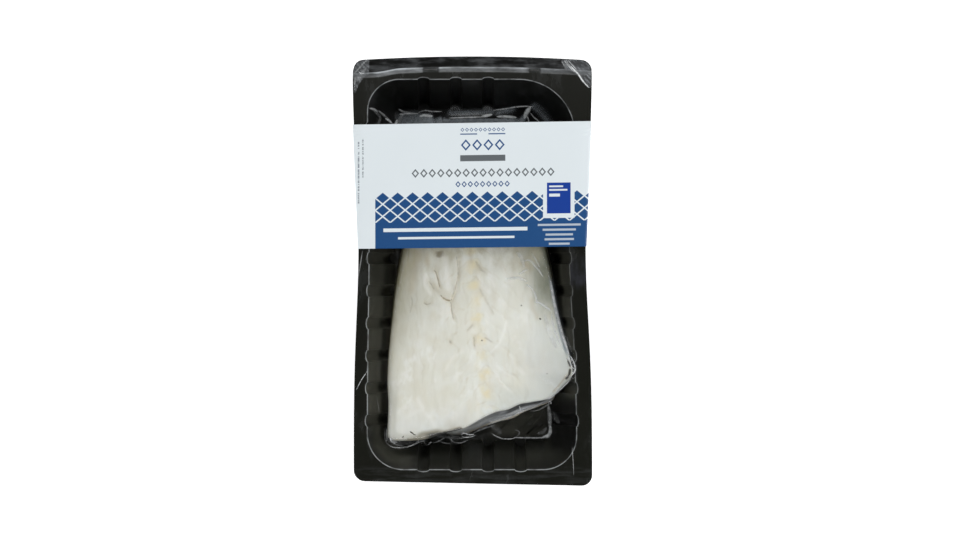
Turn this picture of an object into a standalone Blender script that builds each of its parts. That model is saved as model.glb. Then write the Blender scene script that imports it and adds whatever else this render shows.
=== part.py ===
"""Salt cod fillet in a skin-packed plastic tray with a card sleeve.

For Blender 4.5, in metres, +Z up. The pack lies on its floor with its peel lip at +Y, and the origin is on the
surface under the middle of the pack.
"""

import math

import bmesh
import bpy
from mathutils import Vector

MM = 0.001

# Thicknesses, and the clearance between two pieces that touch
CARD = 0.4 * MM
FILM = 0.3 * MM
WALL = 0.8 * MM
GAP = 0.3 * MM

# Heights over the surface that the pack lies on
TRAY_FOOT = CARD + GAP
FLOOR_Z = TRAY_FOOT + WALL
DEPTH = 29.5 * MM
FLANGE_Z = FLOOR_Z + DEPTH

# Tray: flange outline
FLANGE_RIGHT = 74.0 * MM
FLANGE_LEFT_TOP = -74.0 * MM
FLANGE_LEFT_BOTTOM = -73.0 * MM
FLANGE_BOTTOM_LEFT = -129.5 * MM
FLANGE_BOTTOM_RIGHT = -132.5 * MM
FLANGE_CORNER_LEFT = 7.0 * MM
FLANGE_CORNER_RIGHT = 6.5 * MM
EDGE_SPACING = 15.0 * MM

# Tray: peel lip, a strip past a step down along the top edge, which bows a little
STEP_Y = 122.7 * MM
LIP_EDGE_Y = 132.5 * MM
LIP_ROWS = ((0.0, 0.0), (1.1, 0.5), (2.7, 2.1), (3.9, 2.6), (7.4, 2.7), (9.8, 2.7))  # past the step, down; mm
LIP_CORNER = 6.5 * MM
LIP_COLUMNS = 16
BOW = 2.0 * MM
BOW_HALF_SPAN = 67.0 * MM

# Tray: cavity
RIM_LEFT, RIM_RIGHT = -64.9 * MM, 64.7 * MM
RIM_BOTTOM, RIM_TOP = -122.7 * MM, 118.4 * MM
RIM_RADII = (22.5 * MM, 21.0 * MM, 36.0 * MM, 20.0 * MM)  # bottom left, bottom right, top right, top left
RIM_ARC_STEPS = 6
RIM_ROLL = ((-1.0, 0.0), (0.1, 0.35), (0.8, 1.5))  # inset from the rim, drop; mm
FOOT_ROLL = ((14.6, 2.4), (15.6, 0.7), (17.2, 0.0))  # inset from the rim, height over the floor; mm

# Tray: flutes, half-round ribs that bulge out of the wall and widen towards the floor
FLUTE_PITCH = 20.05 * MM
FLUTE_HALF_WIDTH = 3.7 * MM
FLUTE_AT_RIM = 1.2 * MM
FLUTE_AT_FOOT = 3.6 * MM
FLUTES_EACH_WAY = 5
FLUTE_STATIONS = (-1.0, -0.6, 0.0, 0.6, 1.0)

# The sleeve squeezes the pack's waist
WAIST_Y = 14.0 * MM
WAIST_REACH = 62.0 * MM
WAIST_DEPTH = 5.0 * MM

# Fillet: plan outline from the bottom left corner round, in mm, drawn as one smooth curve
FILLET_OUTLINE = (
    (-52.5, -100.0), (-46.0, -106.0), (-29.0, -102.0), (-8.0, -99.0), (8.0, -89.5), (28.0, -82.0),
    (46.5, -79.5), (58.5, -67.5), (60.5, -58.0), (54.8, -37.0), (51.0, -14.0), (47.4, 14.0),
    (41.0, 46.0), (31.0, 77.0), (10.0, 90.0), (-16.0, 87.0), (-32.5, 63.0), (-42.5, 15.0),
    (-48.5, -22.0), (-52.8, -50.0), (-53.4, -72.0), (-53.2, -88.0),
)
STEPS_PER_POINT = 4
SPINE_TOP = (-2.5 * MM, 48.0 * MM)
SPINE_BOTTOM = (6.0 * MM, -56.0 * MM)
FAN = 0.2  # how much the rays past the spine's ends open out
PLATEAU = 21.0 * MM  # height of the top face over the ground along most of the fillet
TAIL_PLATEAU = 14.5 * MM
TAIL_Y = (10.0 * MM, 88.0 * MM)  # where the fillet starts to thin towards its hidden end, and its end
TIP_THICKNESS = 3.0 * MM
SHOULDER_RUN = 26.0 * MM
SKIRT = 0.6 * MM  # how far the foot stands out past the top edge
CUT_SKIRT = 6.0 * MM  # the same at the middle of the slanted cut
CUT_FROM, CUT_TO = (-6.0 * MM, -99.0 * MM), (50.0 * MM, -78.0 * MM)
FOOT_TUCK = 0.8 * MM
UNDERSIDE_INSET = 9.0 * MM
SHOULDER = ((0.0, 0.55), (1.6, 0.80), (4.8, 0.94), (10.5, 1.0))  # mm in from the top edge, share of the height
TOP_SHARES = (0.35, 0.6, 0.86)  # of the way from the top edge to the spine
GROOVE_DEPTH = 0.9 * MM
GROOVE_HALF_WIDTH = 7.0 * MM
SWELL = 0.5 * MM
SWELL_LENGTH = 46.0 * MM

# Film: rings inside the rim, its reach on the flange, and its flaps over both corners of the lip
FILM_RINGS = ((-1.2, 0.0), (0.3, 0.12), (1.7, 0.3), (15.5, 0.7), (18.0, 0.85))  # inset, mm; share of the room
FILM_STANDOFF = 0.45 * MM
FILM_DRAPE = 2.6 * MM
CUT_DRAPE = 4.0 * MM
FILM_MARGIN = 1.3 * MM
FILM_CORNER = 5.5 * MM
FILM_STEP_MARGIN = 0.7 * MM
LEFT_FLAP = (-63.5 * MM, 129.4 * MM)
RIGHT_FLAP = ((57.8 * MM, 125.4 * MM), (54.6 * MM, 130.4 * MM), (69.0 * MM, 130.2 * MM))

# Sleeve: a closed band of card, a little skewed on the pack
SLEEVE_LOWER_Y = 14.4 * MM
SLEEVE_UPPER_Y = 91.2 * MM
SLEEVE_SKEW = (0.0105, 0.015)  # rise of the lower and the upper edge over the width
SLEEVE_HALF_LOWER = 69.9 * MM
SLEEVE_HALF_UPPER = 73.8 * MM
SLEEVE_TOP = FLANGE_Z + GAP + FILM + GAP + CARD
SLEEVE_TUCK = (0.2 * MM, 2.6 * MM)  # in and down, to the fold under the flange
SLEEVE_HALF_BASE = 56.0 * MM
SLEEVE_FOLD = 1.2 * MM
SLEEVE_ROWS = 5


def clear_scene():
    for old in list(bpy.data.objects):
        bpy.data.objects.remove(old, do_unlink=True)


def make_material(name, colour, roughness, metallic=0.0, alpha=1.0):
    material = bpy.data.materials.new(name)
    material.use_nodes = True
    shader = material.node_tree.nodes["Principled BSDF"]
    shader.inputs["Base Color"].default_value = (*colour, 1.0)
    shader.inputs["Roughness"].default_value = roughness
    shader.inputs["Metallic"].default_value = metallic
    shader.inputs["Alpha"].default_value = alpha
    return material


def add_object(name, bm, material, smooth_angle=40):
    mesh = bpy.data.meshes.new(name)
    bm.to_mesh(mesh)
    bm.free()
    mesh.shade_smooth()
    mesh.set_sharp_from_angle(angle=math.radians(smooth_angle))
    mesh.materials.append(material)
    item = bpy.data.objects.new(name, mesh)
    bpy.context.collection.objects.link(item)
    return item


def add_wall(item, thickness):
    wall = item.modifiers.new("wall", "SOLIDIFY")
    wall.thickness = thickness
    wall.offset = -1.0
    wall.use_even_offset = True


# Loops and the faces between them

def add_loop(bm, points):
    verts = [bm.verts.new(p) for p in points]
    edges = [bm.edges.new(pair) for pair in zip(verts, verts[1:] + verts[:1])]
    return verts, edges


def bridge(bm, outer, inner):
    """Faces between two loops of the same length; both run anticlockwise, seen from above."""
    for k in range(len(outer)):
        bm.faces.new((outer[k - 1], outer[k], inner[k], inner[k - 1]))


def fill(bm, *edge_loops):
    """Triangles inside the first loop and outside the others."""
    edges = [edge for loop in edge_loops for edge in loop]
    bmesh.ops.triangle_fill(bm, use_beauty=True, use_dissolve=False, edges=edges, normal=(0, 0, 1))


def stack(bm, rings):
    """Joins rings of points, from the outside in, fills the last one and returns the first one's edges."""
    loops = [add_loop(bm, ring) for ring in rings]
    for (outer, _), (inner, _) in zip(loops, loops[1:]):
        bridge(bm, outer, inner)
    fill(bm, loops[-1][1])
    return loops[0][1]


def face_up(bm):
    """Turns an open sheet's faces to +Z."""
    bmesh.ops.recalc_face_normals(bm, faces=bm.faces)
    bm.normal_update()
    if sum(face.normal.z * face.calc_area() for face in bm.faces) < 0:
        bmesh.ops.reverse_faces(bm, faces=bm.faces)


def rounded(corners, arc_steps):
    """A closed outline through corners given as (x, y, radius), each replaced by an arc."""
    points = []
    for k, (x, y, radius) in enumerate(corners):
        here = Vector((x, y))
        before = (Vector(corners[k - 1][:2]) - here).normalized()
        after = (Vector(corners[(k + 1) % len(corners)][:2]) - here).normalized()
        if radius == 0:
            points.append(here)
            continue
        half = before.angle(after) / 2
        centre = here + (before + after).normalized() * radius / math.sin(half)
        start = here + before * radius / math.tan(half) - centre
        turn = (math.pi - 2 * half) * (1 if before.cross(after) < 0 else -1)
        for step in range(arc_steps + 1):
            angle = turn * step / arc_steps
            cos, sin = math.cos(angle), math.sin(angle)
            points.append(centre + Vector((start.x * cos - start.y * sin, start.x * sin + start.y * cos)))
    return points


def subdivided(points, spacing):
    """The same closed outline with its long edges cut into even pieces."""
    out = []
    for here, there in zip(points, points[1:] + points[:1]):
        pieces = max(1, round((there - here).length / spacing))
        out += [here.lerp(there, k / pieces) for k in range(pieces)]
    return out


# The cavity's rim and the wall inside it

def rim_corners():
    """Each corner's arc centre, its radius and the quadrant that it fills, anticlockwise from the bottom left."""
    places = ((RIM_LEFT, RIM_BOTTOM), (RIM_RIGHT, RIM_BOTTOM), (RIM_RIGHT, RIM_TOP), (RIM_LEFT, RIM_TOP))
    signs = ((-1, -1), (1, -1), (1, 1), (-1, 1))
    return [
        (Vector((x - sx * r, y - sy * r)), r, Vector((sx, sy)))
        for (x, y), (sx, sy), r in zip(places, signs, RIM_RADII)
    ]


def rim_inset(x, y):
    """How far a point lies inside the rim, in plan."""
    for centre, radius, quadrant in rim_corners():
        if (x - centre.x) * quadrant.x > 0 and (y - centre.y) * quadrant.y > 0:
            return radius - math.hypot(x - centre.x, y - centre.y)
    return min(x - RIM_LEFT, RIM_RIGHT - x, y - RIM_BOTTOM, RIM_TOP - y)


def wall_profile():
    """(inset, height) pairs down the wall's upper face."""
    roll = [(inset * MM, FLANGE_Z - drop * MM) for inset, drop in RIM_ROLL]
    foot = [(inset * MM, FLOOR_Z + height * MM) for inset, height in FOOT_ROLL]
    return roll + foot


def height_at_inset(inset):
    pairs = wall_profile()
    if inset <= pairs[0][0]:
        return pairs[0][1]
    for (a, za), (b, zb) in zip(pairs, pairs[1:]):
        if inset <= b:
            return za + (zb - za) * (inset - a) / (b - a)
    return pairs[-1][1]


def tray_height(x, y):
    """Height of the tray's upper face at a plan point, between its flutes."""
    return height_at_inset(rim_inset(x, y))


def rim_stations():
    """(point, outward normal, flute share) round the rim, anticlockwise."""
    corners = rim_corners()
    stations = []
    for k, (centre, radius, _) in enumerate(corners):
        start_angle = math.pi + k * math.pi / 2
        for step in range(RIM_ARC_STEPS + 1):
            angle = start_angle + step * math.pi / 2 / RIM_ARC_STEPS
            normal = Vector((math.cos(angle), math.sin(angle)))
            stations.append((centre + normal * radius, normal, 0.0))
        next_centre, next_radius, _ = corners[(k + 1) % 4]
        normal = Vector((math.cos(start_angle + math.pi / 2), math.sin(start_angle + math.pi / 2)))
        start, end = centre + normal * radius, next_centre + normal * next_radius
        stations += flute_stations(start, end, normal)
    return stations


def flute_stations(start, end, normal):
    """The flutes that fit on one straight side, set out from the tray's own middle."""
    along = (end - start).normalized()
    middle = Vector(((RIM_LEFT + RIM_RIGHT) / 2, (RIM_BOTTOM + RIM_TOP) / 2))
    origin = start + along * (middle - start).dot(along)
    stations = []
    for k in range(-FLUTES_EACH_WAY, FLUTES_EACH_WAY):
        centre = origin + along * (k + 0.5) * FLUTE_PITCH
        room = min((centre - start).dot(along), (end - centre).dot(along))
        if room <= FLUTE_HALF_WIDTH:
            continue
        for u in FLUTE_STATIONS:
            stations.append((centre + along * u * FLUTE_HALF_WIDTH, normal, math.sqrt(1 - u * u)))
    return stations


def lip_bow(x):
    return BOW * (x / BOW_HALF_SPAN) ** 2


def squeezed(point):
    """The place of a point once the sleeve has squeezed the waist; the floor keeps its width."""
    waist = math.exp(-(((point.y - WAIST_Y) / WAIST_REACH) ** 2))
    lift = max(0.0, point.z - FLOOR_Z) / DEPTH
    point.x *= 1 - WAIST_DEPTH / FLANGE_RIGHT * waist * lift


def squeeze(bm):
    for vert in bm.verts:
        squeezed(vert.co)


# Pieces

def make_tray():
    bm = bmesh.new()
    step_columns = [1 - 2 * k / LIP_COLUMNS for k in range(LIP_COLUMNS + 1)]  # right to left
    step_line = [(u * FLANGE_RIGHT, STEP_Y - lip_bow(u * FLANGE_RIGHT)) for u in step_columns]
    lower = rounded(
        [
            (FLANGE_LEFT_TOP, step_line[-1][1], 0),
            (FLANGE_LEFT_BOTTOM, FLANGE_BOTTOM_LEFT, FLANGE_CORNER_LEFT),
            (FLANGE_RIGHT, FLANGE_BOTTOM_RIGHT, FLANGE_CORNER_RIGHT),
            (FLANGE_RIGHT, step_line[0][1], 0),
        ],
        arc_steps=4,
    )
    lower = subdivided(lower, EDGE_SPACING)
    top_right = next(k for k, p in enumerate(lower) if (p - Vector(step_line[0])).length < 1e-6)
    outline = lower[:top_right] + [Vector(p) for p in step_line[:-1]]
    outer, outer_edges = add_loop(bm, [(p.x, p.y, FLANGE_Z) for p in outline])
    rings = []
    for inset, z in wall_profile():
        share = min(1.0, max(0.0, (FLANGE_Z - z) / DEPTH))
        flute = FLUTE_AT_RIM + (FLUTE_AT_FOOT - FLUTE_AT_RIM) * share
        rings.append([(*(p - n * (inset - w * flute)), z) for p, n, w in rim_stations()])
    fill(bm, outer_edges, stack(bm, rings))
    step_verts = outer[top_right:] + [outer[0]]
    add_lip(bm, step_verts, step_columns)
    face_up(bm)
    squeeze(bm)
    plastic = make_material("black_plastic", (0.012, 0.012, 0.010), roughness=0.35)
    add_wall(add_object("tray", bm, plastic), WALL)


def add_lip(bm, step_verts, columns):
    """Rows of faces from the flange's top edge down the step and out to the lip's edge."""
    last = step_verts
    for out, down in LIP_ROWS[1:]:
        y = STEP_Y + out * MM
        past_corner = min(LIP_CORNER, max(0.0, y - (LIP_EDGE_Y - LIP_CORNER)))
        half = FLANGE_RIGHT - LIP_CORNER + math.sqrt(LIP_CORNER**2 - past_corner**2)
        row = [bm.verts.new((u * half, y - lip_bow(u * half), FLANGE_Z - down * MM)) for u in columns]
        for k in range(len(columns) - 1):
            bm.faces.new((last[k], row[k], row[k + 1], last[k + 1]))
        last = row


def fillet_outline():
    """Points round the fillet's top edge: a closed Catmull-Rom curve through its outline."""
    knots = [Vector(p) * MM for p in FILLET_OUTLINE]
    points = []
    for k in range(len(knots)):
        a, b, c, d = (knots[(k + j) % len(knots)] for j in (-1, 0, 1, 2))
        for step in range(STEPS_PER_POINT):
            t = step / STEPS_PER_POINT
            points.append(
                0.5 * (2 * b + (c - a) * t + (2 * a - 5 * b + 4 * c - d) * t**2 + (3 * b - a - 3 * c + d) * t**3)
            )
    return points


def spine_at(y):
    """The point of the fillet's middle line nearest in y."""
    (x0, y0), (x1, y1) = SPINE_BOTTOM, SPINE_TOP
    y = min(max(y, y0), y1)
    return Vector((x0 + (x1 - x0) * (y - y0) / (y1 - y0), y))


def outward(edge):
    """Direction in plan from the fillet's inside out through a point of its edge."""
    spine = spine_at(edge.y)
    spine.x += FAN * (edge.x - spine.x)
    return (edge - spine).normalized()


def cut_share(edge):
    """1 at the middle of the slanted cut, 0 at its ends and elsewhere."""
    start, end = Vector(CUT_FROM), Vector(CUT_TO)
    t = (edge - start).dot(end - start) / (end - start).length_squared
    return math.sin(math.pi * t) if 0 < t < 1 and edge.y < start.lerp(end, t).y + 12 * MM else 0.0


def plateau(x, y):
    """Height of the fillet's top face away from its edges."""
    start, end = TAIL_Y
    t = min(1.0, max(0.0, (y - start) / (end - start)))
    height = PLATEAU + (TAIL_PLATEAU - PLATEAU) * t * t
    off_spine = (x - spine_at(y).x) / GROOVE_HALF_WIDTH
    height -= GROOVE_DEPTH * math.exp(-off_spine * off_spine)
    return height + SWELL * math.sin(2 * math.pi * (y + 0.4 * abs(x)) / SWELL_LENGTH)


def fillet_rings():
    """Rings of points from the underside's middle round the edge to the top face's middle."""
    edges = fillet_outline()
    outs = [outward(edge) for edge in edges]
    feet = [e + o * (SKIRT + (CUT_SKIRT - SKIRT) * cut_share(e)) for e, o in zip(edges, outs)]

    def resting(points, lift=0.0):
        return [Vector((*p, tray_height(*p) + GAP + lift)) for p in points]

    rings = [
        resting([f - o * UNDERSIDE_INSET for f, o in zip(feet, outs)]),
        resting([f - o * FOOT_TUCK for f, o in zip(feet, outs)]),
        resting(feet, lift=1.5 * MM),
    ]
    spines = [spine_at(e.y) for e in edges]
    runs = [(s - e).length for e, s in zip(edges, spines)]

    def top_point(k, inward, share):
        edge, foot_z = edges[k], rings[2][k].z
        spot = edge.lerp(spines[k], min(1.0, inward / runs[k]))
        level = plateau(*spot)
        high = max(level, foot_z + TIP_THICKNESS)
        t = min(1.0, inward / SHOULDER_RUN)
        high += (level - high) * t * t * (3 - 2 * t)
        return Vector((*spot, foot_z + (high - foot_z) * share))

    for inward, share in SHOULDER:
        rings.append([top_point(k, inward * MM, share) for k in range(len(edges))])
    last = SHOULDER[-1][0] * MM
    for part in TOP_SHARES:
        rings.append([top_point(k, last + (runs[k] - last) * part, 1.0) for k in range(len(edges))])
    return rings


def make_fillet():
    """Builds the fillet and returns its upper rings, pushed out by the film's standoff."""
    rings = fillet_rings()
    bm = bmesh.new()
    first_edges = stack(bm, rings)
    fill(bm, first_edges)
    bmesh.ops.recalc_face_normals(bm, faces=bm.faces)
    bm.normal_update()
    bm.verts.ensure_lookup_table()
    count = len(rings[0])
    pushed = [v.co + v.normal * FILM_STANDOFF for v in bm.verts]
    cover = [pushed[k * count:(k + 1) * count] for k in range(2, len(rings))]
    squeeze(bm)
    add_object("fillet", bm, make_material("cod_flesh", (0.68, 0.67, 0.57), roughness=0.45))
    return cover


def reach(start, direction, inset):
    """The point on a ray at which the rim's inset has shrunk to the one given."""
    low, high = 0.0, 2 * FLANGE_RIGHT
    for _ in range(40):
        middle = (low + high) / 2
        if rim_inset(*(start + direction * middle)) > inset:
            low = middle
        else:
            high = middle
    return start + direction * low


def film_outline():
    """The film's edge on the flange, with a flap over each top corner."""
    left_bottom = FLANGE_LEFT_BOTTOM + FILM_MARGIN
    right = FLANGE_RIGHT - FILM_MARGIN
    left_top = FLANGE_LEFT_TOP + FILM_MARGIN
    step = STEP_Y - FILM_STEP_MARGIN
    flap_x, flap_y = LEFT_FLAP
    corners = [
        (left_bottom, FLANGE_BOTTOM_LEFT + FILM_MARGIN, FILM_CORNER),
        (right, FLANGE_BOTTOM_RIGHT + FILM_MARGIN, FILM_CORNER),
        (right, STEP_Y + 2 * MM, FILM_CORNER / 2),
        *((x, y, 0) for x, y in reversed(RIGHT_FLAP)),
        (RIGHT_FLAP[0][0], step - lip_bow(RIGHT_FLAP[0][0]), 0),
        *((x * MM, step - lip_bow(x * MM), 0) for x in (36, 12, -12, -36)),
        (flap_x, step - lip_bow(flap_x), 0),
        (flap_x, flap_y, 0),
        (left_top + FILM_CORNER, flap_y, 0),
        (left_top, STEP_Y, 0),
    ]
    return subdivided(rounded(corners, arc_steps=3), EDGE_SPACING)


def make_film(cover):
    """A thin skin from the flange down the wall, over the floor and over the fillet."""
    edges = fillet_outline()
    outs = [outward(edge) for edge in edges]
    drapes = [FILM_DRAPE + (CUT_DRAPE + CUT_SKIRT - FILM_DRAPE) * cut_share(e) for e in edges]
    feet = [e + o * (SKIRT + drape) for e, o, drape in zip(edges, outs, drapes)]
    rings = []
    for inset, share in FILM_RINGS:
        ring = []
        for foot, out in zip(feet, outs):
            target = inset * MM if inset < 0 else min(inset * MM, share * rim_inset(*foot))
            ring.append(reach(foot, out, target))
        rings.append(ring)
    rings.append(feet)
    lift = FILM_STANDOFF  # evaluated this far towards the rim, which keeps the film off the steep wall
    rings = [
        [Vector((*p, height_at_inset(rim_inset(*p) - lift) + GAP)) for p in ring]
        for ring in rings
    ]
    bm = bmesh.new()
    outer, outer_edges = add_loop(bm, [(p.x, p.y, FLANGE_Z + GAP) for p in film_outline()])
    fill(bm, outer_edges, stack(bm, rings + cover))
    face_up(bm)
    squeeze(bm)
    top = bmesh.ops.extrude_face_region(bm, geom=bm.faces[:], use_keep_orig=True)["geom"]
    bmesh.ops.translate(bm, vec=(0, 0, FILM), verts=[v for v in top if isinstance(v, bmesh.types.BMVert)])
    bmesh.ops.recalc_face_normals(bm, faces=bm.faces)
    add_object("film", bm, make_material("clear_film", (0.8, 0.82, 0.84), roughness=0.12, alpha=0.2))


def make_sleeve():
    """A closed loop of card: top panel on the flanges, sides folded under them, and a base panel."""
    tuck_in, tuck_down = SLEEVE_TUCK
    bm = bmesh.new()
    last = None
    for row in range(SLEEVE_ROWS):
        t = row / (SLEEVE_ROWS - 1)
        half = SLEEVE_HALF_LOWER + (SLEEVE_HALF_UPPER - SLEEVE_HALF_LOWER) * t
        section = rounded(
            [
                (half, SLEEVE_TOP, SLEEVE_FOLD),
                (-half, SLEEVE_TOP, SLEEVE_FOLD),
                (tuck_in - half, SLEEVE_TOP - tuck_down, 0),
                (-SLEEVE_HALF_BASE, 0, SLEEVE_FOLD),
                (SLEEVE_HALF_BASE, 0, SLEEVE_FOLD),
                (half - tuck_in, SLEEVE_TOP - tuck_down, 0),
            ],
            arc_steps=3,
        )
        low_skew, high_skew = SLEEVE_SKEW
        skew = low_skew + (high_skew - low_skew) * t
        y = SLEEVE_LOWER_Y + (SLEEVE_UPPER_Y - SLEEVE_LOWER_Y) * t
        loop, _ = add_loop(bm, [(p.x, y + skew * p.x, p.y) for p in section])
        if last:
            bridge(bm, last, loop)
        last = loop
    bmesh.ops.recalc_face_normals(bm, faces=bm.faces)
    top = max(bm.faces, key=lambda face: face.calc_center_median().z)
    if top.normal.z < 0:
        bmesh.ops.reverse_faces(bm, faces=bm.faces)
    add_wall(add_object("sleeve", bm, make_material("white_card", (0.72, 0.78, 0.80), roughness=0.4)), CARD)


clear_scene()
make_tray()
make_film(make_fillet())
make_sleeve()
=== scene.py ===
import math
import bmesh
import bpy
import numpy as np
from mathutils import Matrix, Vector, noise
from mathutils.bvhtree import BVHTree


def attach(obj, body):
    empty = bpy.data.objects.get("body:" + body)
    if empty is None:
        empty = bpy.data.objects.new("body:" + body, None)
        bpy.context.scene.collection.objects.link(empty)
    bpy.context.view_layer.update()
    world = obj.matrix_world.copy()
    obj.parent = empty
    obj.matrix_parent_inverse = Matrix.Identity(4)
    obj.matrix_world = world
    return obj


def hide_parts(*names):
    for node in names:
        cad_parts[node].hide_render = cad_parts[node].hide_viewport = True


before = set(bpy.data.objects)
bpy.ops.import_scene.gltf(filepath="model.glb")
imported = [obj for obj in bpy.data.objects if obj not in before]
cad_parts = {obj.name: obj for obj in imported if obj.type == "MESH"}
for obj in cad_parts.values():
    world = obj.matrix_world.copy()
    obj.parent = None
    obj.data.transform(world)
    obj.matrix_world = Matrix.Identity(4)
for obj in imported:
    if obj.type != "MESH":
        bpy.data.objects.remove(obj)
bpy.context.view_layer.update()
mm = 0.001  # shapes below are worked out in millimetres

# Heights are over the surface that the pack lies on
pack = {
    "floorZ": 1.5, "flangeZ": 31.0, "halfWidth": 73.98,
    "rimLeft": -64.9, "rimRight": 64.7, "rimBottom": -122.7, "rimTop": 118.4,
    "rimRadii": (22.5, 21.0, 36.0, 20.0),  # bottom left, bottom right, top right, top left
    "wallFall": 1.855,  # mm down for each mm inwards
    "stepY": 122.7, "bow": 2.0, "bowHalfSpan": 67.0, "curl": 1.7,
    "waistY": 14.0, "waistReach": 62.0,
    # how far the sleeve pushes the pack in, from the left flange to the right one
    "waistAt": (-74.0, -64.9, -46.0, 0.0, 50.0, 64.7, 74.0),
    "waistPush": (3.5, 1.1, 3.1, 0.0, -3.4, -4.7, -4.0),
}


class Wire:
    # One socket of a node tree. Sums and products of wires add Math nodes.
    def __init__(self, tree, socket=None):
        self.tree, self.socket = tree, socket

    def node(self, kind, settings=None, inputs=None, output=0):
        made = self.tree.nodes.new(kind)
        for name, value in (settings or {}).items():
            if name != "stops":
                setattr(made, name, value)
                continue
            for k, (place, colour) in enumerate(value):
                stops = made.color_ramp.elements
                stop = stops[k] if k < len(stops) else stops.new(place)
                stop.position, stop.color = place, colour
        for name, value in (inputs or {}).items():
            if isinstance(value, Wire):
                self.tree.links.new(value.socket, made.inputs[name])
            else:
                made.inputs[name].default_value = value
        return Wire(self.tree, made.outputs[output] if made.outputs else None)

    def math(self, operation, *others):
        return self.node("ShaderNodeMath", {"operation": operation}, dict(enumerate((self, *others))))

    def __add__(self, other):
        return self.math("ADD", other)

    __radd__ = __add__

    def __sub__(self, other):
        return self.math("SUBTRACT", other)

    def __rsub__(self, other):
        return self.node("ShaderNodeMath", {"operation": "SUBTRACT"}, {0: other, 1: self})

    def __mul__(self, other):
        return self.math("MULTIPLY", other)

    __rmul__ = __mul__

    def __truediv__(self, other):
        return self.math("DIVIDE", other)

    def __pow__(self, other):
        return self.math("POWER", other)

    def rise(self, low, high):  # 0 at low and 1 at high, smooth between
        return self.node(
            "ShaderNodeMapRange", {"interpolation_type": "SMOOTHSTEP"},
            {"Value": self, "From Min": low, "From Max": high},
        )

    def hump(self, centre, reach):  # 1 at the centre and 0 past the reach
        return 1 - (self - centre).math("ABSOLUTE").rise(0.0, reach)

    def band(self, low, high, soft):  # 1 between low and high
        return self.rise(low - soft, low + soft) * (1 - self.rise(high - soft, high + soft))

    def blend(self, first, second):  # a colour: first where this is 0, second where it is 1
        return self.node("ShaderNodeMix", {"data_type": "RGBA"}, {0: self, 6: first, 7: second}, output=2)

    def zigzag(self):  # 0.5 at each whole number and 0 halfway between
        return (self.math("FLOORED_MODULO", 1.0) - 0.5).math("ABSOLUTE")

    def stretched(self, x, y, z):
        return self.node("ShaderNodeVectorMath", {"operation": "MULTIPLY"}, {0: self, 1: (x, y, z)})

    def turned(self, angle):  # round the z axis, in radians
        return self.node("ShaderNodeVectorRotate", {"rotation_type": "Z_AXIS"}, {
            "Vector": self, "Angle": angle})

    def grain(self, scale, detail=3.0, rough=0.5):
        return self.node("ShaderNodeTexNoise", None, {
            "Vector": self, "Scale": scale, "Detail": detail, "Roughness": rough})

    def streaks(self, scales, detail=4.0, rough=0.6):
        return self.stretched(*scales).grain(1.0, detail, rough)

    def parts(self):
        return [self.node("ShaderNodeSeparateXYZ", None, {0: self}, output=k) for k in range(3)]

    def attribute(self, name):  # a mesh attribute, for a material
        return self.node("ShaderNodeAttribute", {"attribute_name": name}, output="Fac")

    def stored(self, name, kind="FLOAT"):  # the same for a Geometry Nodes tree
        return self.node("GeometryNodeInputNamedAttribute", {"data_type": kind}, {"Name": name})

    def bump(self, strength, distance):
        return self.node("ShaderNodeBump", None, {
            "Strength": strength, "Distance": distance, "Height": self})


def newMaterial(name):
    material = bpy.data.materials.new(name)
    material.use_nodes = True
    material.node_tree.nodes.clear()
    return material, Wire(material.node_tree)


def millimetres(start):
    # The piece's own coordinates in mm, as a vector
    place = start.node("ShaderNodeTexCoord", output="Object")
    return place.stretched(1000, 1000, 1000)


def surface(shader):
    # Ends a material with its shader
    shader.node("ShaderNodeOutputMaterial", None, {"Surface": shader})


def principled(start, tone, rough, more=None):
    inputs = {"Base Color": tone, "Roughness": rough, **(more or {})}
    return start.node("ShaderNodeBsdfPrincipled", None, inputs)


def overClear(cover, tone, rough):
    # A plain surface where the cover is 1, and nothing where it is 0
    clear = cover.node("ShaderNodeBsdfTransparent", None, {"Color": (1, 1, 1, 1)})
    return cover.node("ShaderNodeMixShader", None, {0: cover, 1: clear, 2: principled(cover, tone, rough)})


def filmGloss(base, share, rough):
    # Gloss that grows at a slant, the same from both sides, as a thin film's does
    headOn = 0.035  # share of the light mirrored head on
    facing = base.node("ShaderNodeLayerWeight", None, {"Blend": 0.5}, output="Facing")
    mirror = headOn + (1 - headOn) * facing**5
    shine = base.node("ShaderNodeBsdfGlossy", None, {"Color": (1, 1, 1, 1), "Roughness": rough})
    return base.node("ShaderNodeMixShader", None, {0: mirror * share, 1: base, 2: shine})


def softMin(a, b, k):
    # The lower of two heights, rounded where they meet
    return (a + b - np.sqrt((a - b) ** 2 + k * k)) / 2


def softMax(a, b, k):
    return (a + b + np.sqrt((a - b) ** 2 + k * k)) / 2


def smooth(x, low, high):
    # 0 at low and 1 at high, smooth between
    t = np.clip((x - low) / (high - low), 0, 1)
    return t * t * (3 - 2 * t)


def between(ends, t):
    return ends[0] + (ends[1] - ends[0]) * t


def noiseAt(x, y, z, seed):
    # Smooth noise, with a layer of its own for each seed
    return np.array([noise.noise(Vector(p) + Vector((0, 0, seed * 7.3))) for p in zip(x, y, z)])


def strokes(x, y, lines):
    # How strongly soft lines, given as (strength, half width, points...), cover each place
    cover = np.zeros_like(x)
    for strength, half, *points in lines:
        nearest = np.full_like(x, 99.0)
        for (ax, ay), (bx, by) in zip(points, points[1:]):
            lengthSquared = (bx - ax) ** 2 + (by - ay) ** 2
            t = np.clip(((x - ax) * (bx - ax) + (y - ay) * (by - ay)) / lengthSquared, 0, 1)
            nearest = np.minimum(nearest, np.hypot(x - ax - t * (bx - ax), y - ay - t * (by - ay)))
        cover = np.maximum(cover, strength * np.exp(-((nearest / half) ** 2)))
    return cover


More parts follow.
